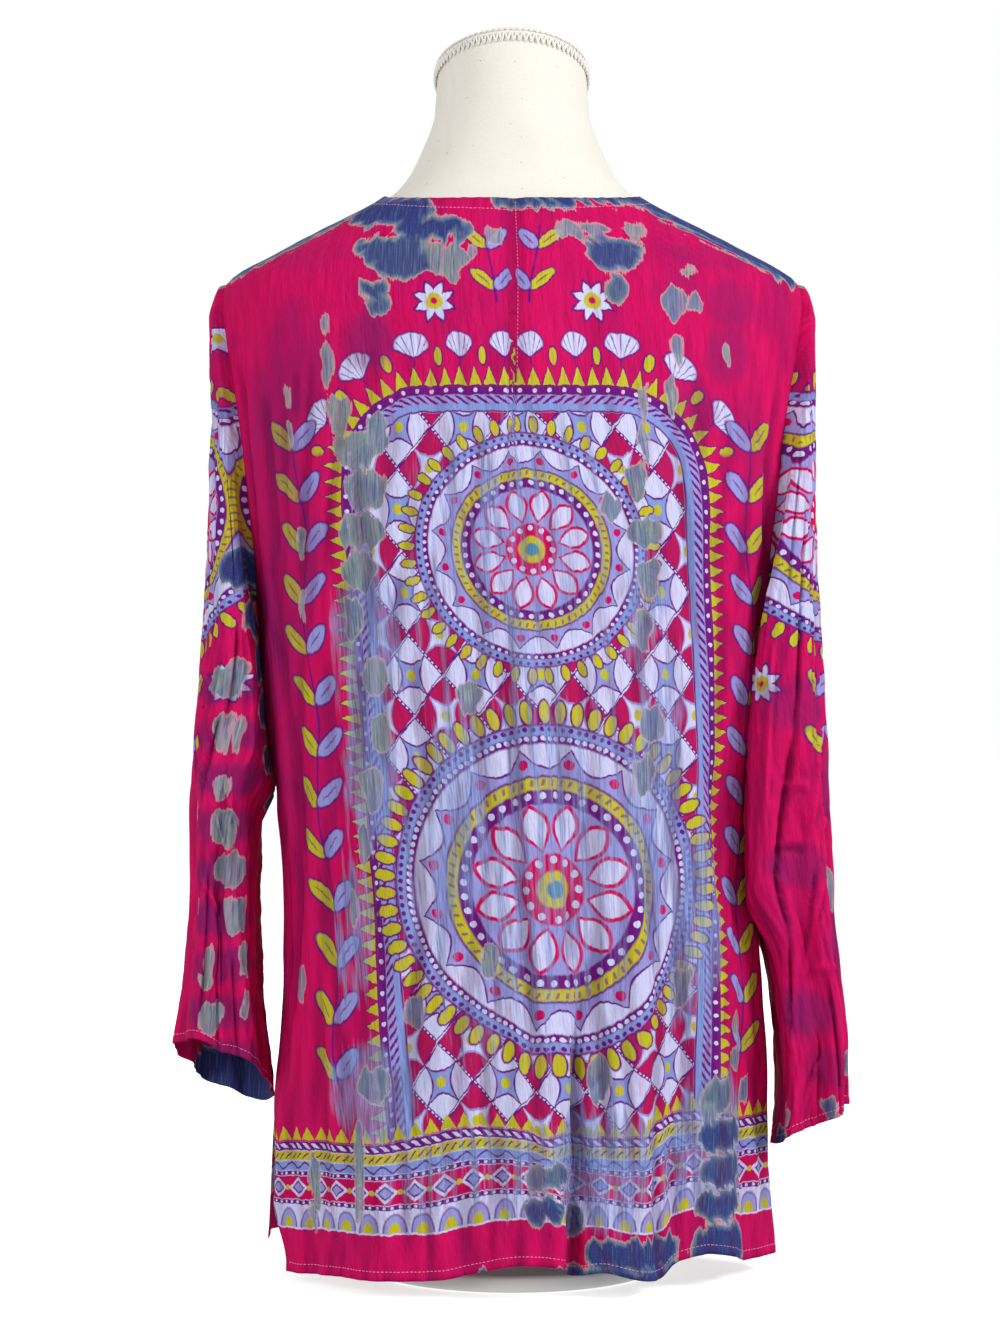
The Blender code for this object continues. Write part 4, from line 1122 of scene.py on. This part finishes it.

# %% [markdown]
# ## The dyed cloth
#
# The ground is magenta with finer and darker threads running down it. The print comes next, then the thin blue wash
# over it, then the dye marks with their pale outlines, and last the dusky shade. Noise stretched along the threads
# breaks every dye edge into fine upright streaks, as dye does when it runs along crinkled rayon. The folds add
# painted light and shade: the ridges of the relief are painted lighter, a painted highlight, and its hollows are
# painted darker, a painted shade.

# %% Cloth material
def cloth_material(name, draw):
    """Rayon with a print, thin blue wash, dusk and dye marks laid over one another in that order."""
    material, tree, shader = empty_tree(name)
    place = Socket.make(tree, "ShaderNodeUVMap", {"uv_map": "cloth"}, {})
    u = Socket.make(tree, "ShaderNodeSeparateXYZ", {}, {0: place})
    v = Socket(u.output.node.outputs[1])
    threads = noise(tree, vector_of(tree, u * 800.0, v * 44.0), 1.0, 2.0)
    streaks = noise(tree, vector_of(tree, u * 170.0, v * 10.0), 1.0, 3.0, 0.6)
    clouds = noise(tree, vector_of(tree, u * 20.0, v * 12.0), 1.0, 2.0)
    weave = noise(tree, vector_of(tree, u * 900.0, v * 900.0), 1.0, 1.0)
    colour = mix((streaks - 0.42).rise(0.30) * 0.7, MAGENTA, LIGHT_MAGENTA)
    colour = mix((threads - 0.50).rise(0.25) * 0.45, colour, DEEP_MAGENTA)
    colour = mix((clouds - 0.47).rise(0.28) * 0.6, colour, DEEP_MAGENTA)
    colour = mix((weave - 0.52).rise(0.2) * 0.30, colour, LIGHT_MAGENTA)
    # Painted highlight: the ridges of the folds are painted lighter.
    folds = Socket.make(tree, "ShaderNodeAttribute", {"attribute_name": "folds"}, {}, 2)
    colour = mix(folds.rise(0.8) * 0.45, colour, LIGHT_MAGENTA)
    rough_u = u + (threads - 0.5) * 0.0014 + (streaks - 0.5) * 0.0016
    rough_v = v + (streaks - 0.5) * 0.0044
    plain = colour
    printed = draw(colour, rough_u, rough_v)
    thin = 0.92 - (threads - 0.52).rise(0.2) * 0.30 - (streaks - 0.58).rise(0.2) * 0.25
    colour = mix(thin, plain, printed)
    marks = Socket.make(tree, "ShaderNodeAttribute", {"attribute_name": "dyes"}, {}, 1)
    depth = Socket.make(tree, "ShaderNodeSeparateXYZ", {}, {0: marks})
    shade = Socket(depth.output.node.outputs[1])
    navy = Socket(depth.output.node.outputs[2])
    wash = shade.maximum(0.0)
    dusk = (-shade).maximum(0.0)
    patches = (wash + (streaks - 0.5) * 1.8 - 0.30).rise(0.3) * wash.rise(0.15)
    colour = mix(patches * 0.66, colour, mix((threads - 0.4).rise(0.2), LILAC_BLUE, SLATE))
    shadow = (dusk * 1.20 + (streaks - 0.5) * 0.9 + (clouds - 0.5) * 0.9 - 0.32).rise(0.9) * dusk.rise(0.3)
    colour = mix(shadow * 0.72, colour, DUSK)
    inside = depth * 10.0 + (streaks - 0.5) * 5.0 + (threads - 0.5) * 4.0
    colour = mix((inside + 0.9).rise(0.5) * 0.60, colour, PALE_EDGE)
    spot = mix((clouds - 0.40 + (threads - 0.5) * 0.8).rise(0.2), SLATE, OLIVE)
    spot = mix((streaks - 0.52).rise(0.15) * 0.30, spot, LILAC_BLUE)
    spot = mix((threads - 0.55).rise(0.12) * 0.60, spot, PALE_OLIVE)
    spot = mix((threads * -1.0 + 0.44).rise(0.12) * 0.60, spot, NAVY)
    worn = 0.84 - (streaks - 0.54).rise(0.1) * 0.45
    colour = mix((inside - 0.2).rise(0.6) * (worn + navy * (1.0 - worn)), colour, spot)
    deep = (inside - 1.0 + (threads - 0.5) * 7.0).rise(3.0) * navy
    colour = mix(deep * 0.96, colour, mix((threads - 0.52).rise(0.2) * 0.55 + (weave - 0.5).rise(0.3) * 0.25,
                                         NAVY, SLATE))
    # Painted shade: the hollows of the folds are painted darker.
    colour = mix((-folds).rise(0.9) * 0.36, colour, PAINTED_FOLD_SHADE)
    tree.links.new(colour.output, shader.inputs["Base Color"])
    shader.inputs["Roughness"].default_value = 0.82
    shader.inputs["Specular IOR Level"].default_value = 0.10
    crinkle = noise(tree, vector_of(tree, u * 260.0, v * 50.0), 1.0, 3.0, 0.6)
    height = crinkle * 2.0 + threads * 0.4
    bumped = Socket.make(tree, "ShaderNodeBump", {}, {"Strength": 0.9, "Distance": 0.0013, "Height": height})
    tree.links.new(bumped.output, shader.inputs["Normal"])
    return material

panel_cloth = cloth_material("printed_panel_cloth", panel_print)
sleeve_cloth = cloth_material("printed_sleeve_cloth", sleeve_print)
print("nodes in the panel cloth:", len(panel_cloth.node_tree.nodes))

# %% [markdown]
# ## Cloth pieces
#
# Each grid now becomes a mesh with its UV map and its dye numbers, and a wall of a little over half a millimetre.

# %% Cut and hang the cloth
cloth = {}
for side in ("back", "front"):
    cloth[side] = grid_piece("cloth_" + side + "_panel", panels[side], panel_cloth, False, side == "front",
                             uvs[side], dyes[side].reshape(-1, 3), folds[side])
for side in ("left", "right"):
    cloth[side] = grid_piece("cloth_sleeve_" + side, sleeves[side], sleeve_cloth, True, side == "right",
                             uvs[side], dyes[side].reshape(-1, 3), folds[side])
for side, piece in cloth.items():
    wall(piece, CLOTH_WALL)
    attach(piece, "root")
    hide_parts(side + "_panel" if side in panels else "sleeve_" + side)
    grid = panels[side] if side in panels else np.concatenate([sleeves[side], sleeves[side][:, :1]], 1)
    a, b, c, d = grid[:-1, :-1], grid[1:, :-1], grid[1:, 1:], grid[:-1, 1:]
    area = (np.linalg.norm(np.cross(c - a, d - b), axis=2).sum() / 2) * MM * MM
    print(piece.name, "has", round(float(area), 3), "square metres of cloth")

# %% [markdown]
# ## Stitches
#
# A line of stitching is many short threads, each dipping into the cloth at both ends. One capsule is a small grid
# of rings; placing a thousand of them is one sum over whole arrays, from where each stitch starts to where it ends.

# %% Threads from start to end
def thread_piece(name, starts, ends, radius, material, segments=6):
    """Capsules between pairs of points, all in one mesh. Each is a tube whose rings swell and close at its ends."""
    share = np.array([0.0, 0.10, 0.5, 0.90, 1.0])
    swell = np.array([0.30, 0.85, 1.0, 0.85, 0.30])
    way = ends - starts
    ahead = way / np.linalg.norm(way, axis=1, keepdims=True)
    helper = np.where(np.abs(ahead[:, 1:2]) < 0.9, [[0.0, 1.0, 0.0]], [[1.0, 0.0, 0.0]])
    side = np.cross(ahead, helper)
    side /= np.linalg.norm(side, axis=1, keepdims=True)
    up = np.cross(ahead, side)
    angle = np.linspace(0, 2 * math.pi, segments, endpoint=False)
    ring = side[:, None] * np.cos(angle)[None, :, None] + up[:, None] * np.sin(angle)[None, :, None]
    middle = starts[:, None] + way[:, None] * share[None, :, None]
    points = middle[:, :, None] + ring[:, None] * (radius * swell)[None, :, None, None]
    faces, _, _ = grid_corners(len(share), segments, True)
    each = len(share) * segments
    numbers = faces[None] + np.arange(len(starts))[:, None, None] * each
    return new_piece(name, points.reshape(-1, 3), numbers.reshape(-1, 4), material)


def plain_material(name, colour, rough):
    material, tree, shader = empty_tree(name)
    shader.inputs["Base Color"].default_value = colour
    shader.inputs["Roughness"].default_value = rough
    return material

thread_pink = plain_material("pink_thread", srgb(226, 150, 186), 0.7)
thread_rose = plain_material("rose_thread", srgb(214, 128, 170), 0.7)


def line_on(grid, walk, distance):
    """A line of points that lies a given distance along the grid's columns, found column by column at once."""
    row = np.argmax(walk >= distance, axis=0) if walk[0, 0] < walk[-1, 0] else np.argmin(walk > distance, axis=0)
    row = np.clip(row, 1, len(grid) - 1)
    column = np.arange(grid.shape[1])
    near, far = walk[row - 1, column], walk[row, column]
    share = np.clip((distance - near) / (far - near), 0, 1)[:, None]
    return grid[row - 1, column] * (1 - share) + grid[row, column] * share


def stitches_along(line, pitch, length):
    """Starts and ends of even stitches along a line of points."""
    walk = np.concatenate([[0], np.cumsum(np.linalg.norm(np.diff(line, axis=0), axis=1))])
    place = np.arange(pitch, walk[-1] - pitch, pitch)
    at = [np.stack([np.interp(place + shift, walk, line[:, axis]) for axis in range(3)], -1)
          for shift in (0, length)]
    return at[0], at[1]

sewn = {}
for side in ("back", "front"):
    grid = panels[side]
    sewn["neck_" + side] = (line_on(grid, walks[side]["down"], NECK_STITCH), thread_pink)
    sewn["hem_" + side] = (line_on(grid, walks[side]["up"], HEM_STITCH), thread_pink)
for side in ("left", "right"):
    sewn["cuff_" + side] = (line_on(sleeves[side], walks[side]["up"], CUFF_STITCH), thread_pink)
pleat_column = np.argmin(np.abs(panels["back"][30, :, 0] + 2))
pleat_line = panels["back"][:, pleat_column]
pleat_line = pleat_line[pleat_line[:, 2] > PLEAT["stitched_to"]]
sewn["pleat"] = (pleat_line + [0, 0.25, 0], thread_rose)
for name, (line, material) in sewn.items():
    starts, ends = stitches_along(line, 3.0, 2.0)
    piece = thread_piece("stitches_" + name, starts, ends, 0.28, material)
    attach(piece, "root")
    print(piece.name, len(starts), "stitches")

# %% [markdown]
# ## The dress form
#
# The form is foam under a tight off-white jersey cover. Its rings are the same ovals as the solid's, with many more
# of them. At the neck the cover is cut on a slant, and a thick thread braids the cover of the neck cap to it: two
# short strokes that meet in a V, over and over, with a chain above. The cover has wrinkled into a step at the left
# of the neck. Small pinholes show where pins have gone in.

# %% Form, cap and braid
def form_material():
    material, tree, shader = empty_tree("jersey_cover")
    place = Socket.make(tree, "ShaderNodeTexCoord", {}, {}, "Object")
    knit = noise(tree, place, 900.0, 2.0)
    patches = noise(tree, place, 14.0, 3.0)
    cells = Socket.make(tree, "ShaderNodeTexVoronoi", {}, {"Vector": place, "Scale": 120.0, "Randomness": 1.0})
    chance = noise(tree, place, 60.0, 1.0)
    hole = (0.085 - cells).rise(0.03) * (chance - 0.44).rise(0.05)
    colour = mix((patches - 0.45).rise(0.3) * 0.5, srgb(236, 232, 222), srgb(222, 218, 206))
    colour = mix((knit - 0.5).rise(0.3) * 0.35, colour, srgb(210, 206, 194))
    # Each pinhole is a darker dot, painted shade inside the hole, and a small dip in the bump below.
    colour = mix(hole * 0.6, colour, srgb(168, 160, 148))
    tree.links.new(colour.output, shader.inputs["Base Color"])
    shader.inputs["Roughness"].default_value = 0.9
    shader.inputs["Specular IOR Level"].default_value = 0.2
    height = knit * 0.6 + patches * 0.4 - hole
    bumped = Socket.make(tree, "ShaderNodeBump", {}, {"Strength": 0.5, "Distance": 0.0006, "Height": height})
    tree.links.new(bumped.output, shader.inputs["Normal"])
    return material

NECK_CUT, NECK_CUT_RISE, CAP_RISE = 869, 22, 13
cover = form_material()
angle = np.linspace(0, 2 * math.pi, 128, endpoint=False)
heights = np.concatenate([np.linspace(85, 760, 70), np.linspace(768, 842, 30)])


def neck_cut(angle):
    """The slanting oval where the neck is cut: highest at the back, all its points in one plane."""
    height = np.full_like(angle, NECK_CUT)
    mid = section_value(FORM_SECTIONS, "mid", height)
    width = section_value(FORM_SECTIONS, "half_width", height)
    depth = section_value(FORM_SECTIONS, "back", height)
    return np.stack([width * np.cos(angle), mid + depth * np.sin(angle),
                     NECK_CUT + NECK_CUT_RISE * np.sin(angle)], -1)

turn, height = np.meshgrid(angle, heights, indexing="xy")
body = oval(FORM_SECTIONS, turn, height)
top = neck_cut(angle)
rise = np.linspace(0, 1, 22)[1:, None, None]
form_points = np.concatenate([body, body[-1] * (1 - rise) + top * rise])
wrinkle_x = smooth_table([782, 815, 838, 858, 872, 892], [44, 48, 46, 44, 46, 49], form_points[..., 2])
step = 1 - ease((form_points[..., 0] - wrinkle_x) / 1.6)
on_neck = ease((form_points[..., 2] - 800) / 14) * (form_points[..., 1] > 0)
valley = bump(form_points[..., 0] - wrinkle_x, 2.2)
form_points += normals_of(form_points, True) * (on_neck * (0.5 - 0.7 * step + 0.9 * valley))[..., None]
form_points[..., :2] *= 0.997
foot_end = form_points[:1] * [0.0, 0.0, 1.0]
form_piece = grid_piece("form_torso_cover", np.concatenate([foot_end, form_points]), cover, True, True)

cap_out = np.array([1.0, 1.015, 1.01, 0.985, 0.94, 0.86, 0.74, 0.58, 0.38, 0.18, 0.0])
cap_up = np.array([0.0, 0.12, 0.28, 0.46, 0.62, 0.76, 0.86, 0.93, 0.97, 0.99, 1.0])
rim = neck_cut(angle)
cap_points = rim.mean(0) + (rim - rim.mean(0)) * cap_out[:, None, None]
cap_points[..., 2] += 0.3 + CAP_RISE * cap_up[:, None]
cap_piece = grid_piece("form_neck_cap_cover", cap_points, cover, True, True)

pitch = 81
around = np.linspace(0, 2 * math.pi, pitch, endpoint=False)
half_step = math.pi / pitch
low = neck_cut(around + half_step) * [1.03, 1.03, 1] - [0, 0, 3.6]
left_top = neck_cut(around + 0.15 * half_step) * [1.035, 1.035, 1] + [0, 0, 3.4]
right_top = neck_cut(around + 1.85 * half_step) * [1.035, 1.035, 1] + [0, 0, 3.4]
chain_start = neck_cut(around) * [1.02, 1.02, 1] + [0, 0, 5.2]
chain_end = neck_cut(around + 1.7 * half_step) * [1.02, 1.02, 1] + [0, 0, 5.2]
braid_thread = plain_material("braid_thread", srgb(236, 233, 227), 0.8)
starts = np.concatenate([low, low, chain_start])
ends = np.concatenate([left_top, right_top, chain_end])
braid = thread_piece("neck_braid", starts, ends, 0.95, braid_thread, 8)
for piece, node in ((form_piece, "form_torso"), (cap_piece, "form_neck_cap")):
    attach(piece, "root")
    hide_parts(node)
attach(braid, "root")
print("braid strokes", len(starts))

# %% [markdown]
# ## The foot
#
# The post and the plate are turned pieces: one profile swept once round the upright axis.

# %% Post and plate
def turned(name, radii, heights, material):
    """A turned piece from its profile, closed on the axis at both ends."""
    angle = np.linspace(0, 2 * math.pi, 96, endpoint=False)
    out = np.concatenate([[0], radii, [0]])[:, None]
    up = np.concatenate([heights[:1], heights, heights[-1:]])[:, None] + 0 * angle
    grid = np.stack([out * np.cos(angle), out * np.sin(angle), up], -1)
    return grid_piece(name, grid, material, True, True)

foot_paint = plain_material("satin_white_paint", srgb(247, 247, 246), 0.4)
post = turned("post", [16, 16], [12.3, 84.7], foot_paint)
plate = turned("plate", [107, 109.2, 110, 110, 109.2, 107], [0, 0.9, 3, 9, 11.1, 12], foot_paint)
for piece, node in ((post, "foot_post"), (plate, "foot_plate")):
    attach(piece, "root")
    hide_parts(node)
print("plate", plate.dimensions.x * 1000, "mm across")

flat = {   # width, length and area of the cut cloth
    "back": (0.52, 0.79, 0.37),
    "front": (0.52, 0.79, 0.36),
    "left": (0.32, 0.62, 0.145),
    "right": (0.33, 0.63, 0.172),
}
for side, piece in cloth.items():
    rests = ["form_torso_cover"] if side in panels else ["cloth_back_panel", "cloth_front_panel"]
    extra = [bpy.data.objects["stitches_" + name] for name in sewn if name.endswith(side)]
    if side == "back":
        extra.append(bpy.data.objects["stitches_pleat"])
print("whole cut", round(sum(area for _, _, area in flat.values()), 2), "square metres")

# %% [markdown]
# ## Light and backdrop
#
# The picture was lit from the front with soft light and cut out on pure white. A large dome glows white for the
# camera only, so it doesn't wash out the cloth. The plain floor glows too, and so much that only the shadow round
# the foot shows on it. A large lamp from the right and a weaker one from the left give the folds their shape.

# %% Light and backdrop
world = bpy.data.worlds.new("room")
scene.world = world
world.use_nodes = True
world.node_tree.nodes["Background"].inputs["Color"].default_value = (1, 1, 1, 1)
world.node_tree.nodes["Background"].inputs["Strength"].default_value = 0.50


def lamp(name, place, aim, size, watts):
    """A square lamp turned towards a point."""
    data = bpy.data.lights.new(name, "AREA")
    data.size = size
    data.energy = watts
    made = bpy.data.objects.new(name, data)
    made.location = place
    way = np.array(aim) - np.array(place)
    made.rotation_euler = (math.acos(-way[2] / np.linalg.norm(way)), 0, math.atan2(-way[0], way[1]))
    scene.collection.objects.link(made)
    return made

lamps = [lamp("lamp_right", (-1.9, 1.2, 1.5), (0, 0, 0.5), 0.6, 38),
         lamp("lamp_left", (1.5, 2.0, 1.2), (0, 0, 0.45), 1.2, 25),
         lamp("lamp_front", (0.3, -2.2, 1.4), (0, 0, 0.5), 1.4, 24)]
glow = bpy.data.materials.new("white_glow")
glow.use_nodes = True
glow.node_tree.nodes.clear()
shine = glow.node_tree.nodes.new("ShaderNodeEmission")
shine.inputs["Strength"].default_value = 1.0
out = glow.node_tree.nodes.new("ShaderNodeOutputMaterial")
glow.node_tree.links.new(shine.outputs[0], out.inputs[0])
around, up = np.meshgrid(np.linspace(0, 2 * math.pi, 48, endpoint=False), np.linspace(-1, 1, 25) * math.pi / 2,
                         indexing="xy")
dome_points = 15000 * np.stack([np.cos(up) * np.cos(around), np.cos(up) * np.sin(around), np.sin(up)], -1)
dome = grid_piece("dome", dome_points, glow, True)
pale, tree, shader = empty_tree("pale_floor")
shader.inputs["Base Color"].default_value = srgb(232, 232, 232)
shader.inputs["Roughness"].default_value = 1.0
shader.inputs["Specular IOR Level"].default_value = 0.0
shader.inputs["Emission Color"].default_value = (1, 1, 1, 1)
shader.inputs["Emission Strength"].default_value = 0.66
ring, around = np.meshgrid(np.linspace(1, 12000, 40), np.linspace(0, 2 * math.pi, 48, endpoint=False), indexing="ij")
floor_points = np.stack([ring * np.cos(around), ring * np.sin(around), 0 * ring - 0.5], -1)
floor = grid_piece("floor", floor_points, pale, True)
for backdrop in (dome, floor):
    backdrop.visible_diffuse = False
    backdrop.visible_glossy = False
    backdrop.visible_shadow = False
    backdrop.visible_transmission = False
print("lamps", len(lamps), "and a floor")
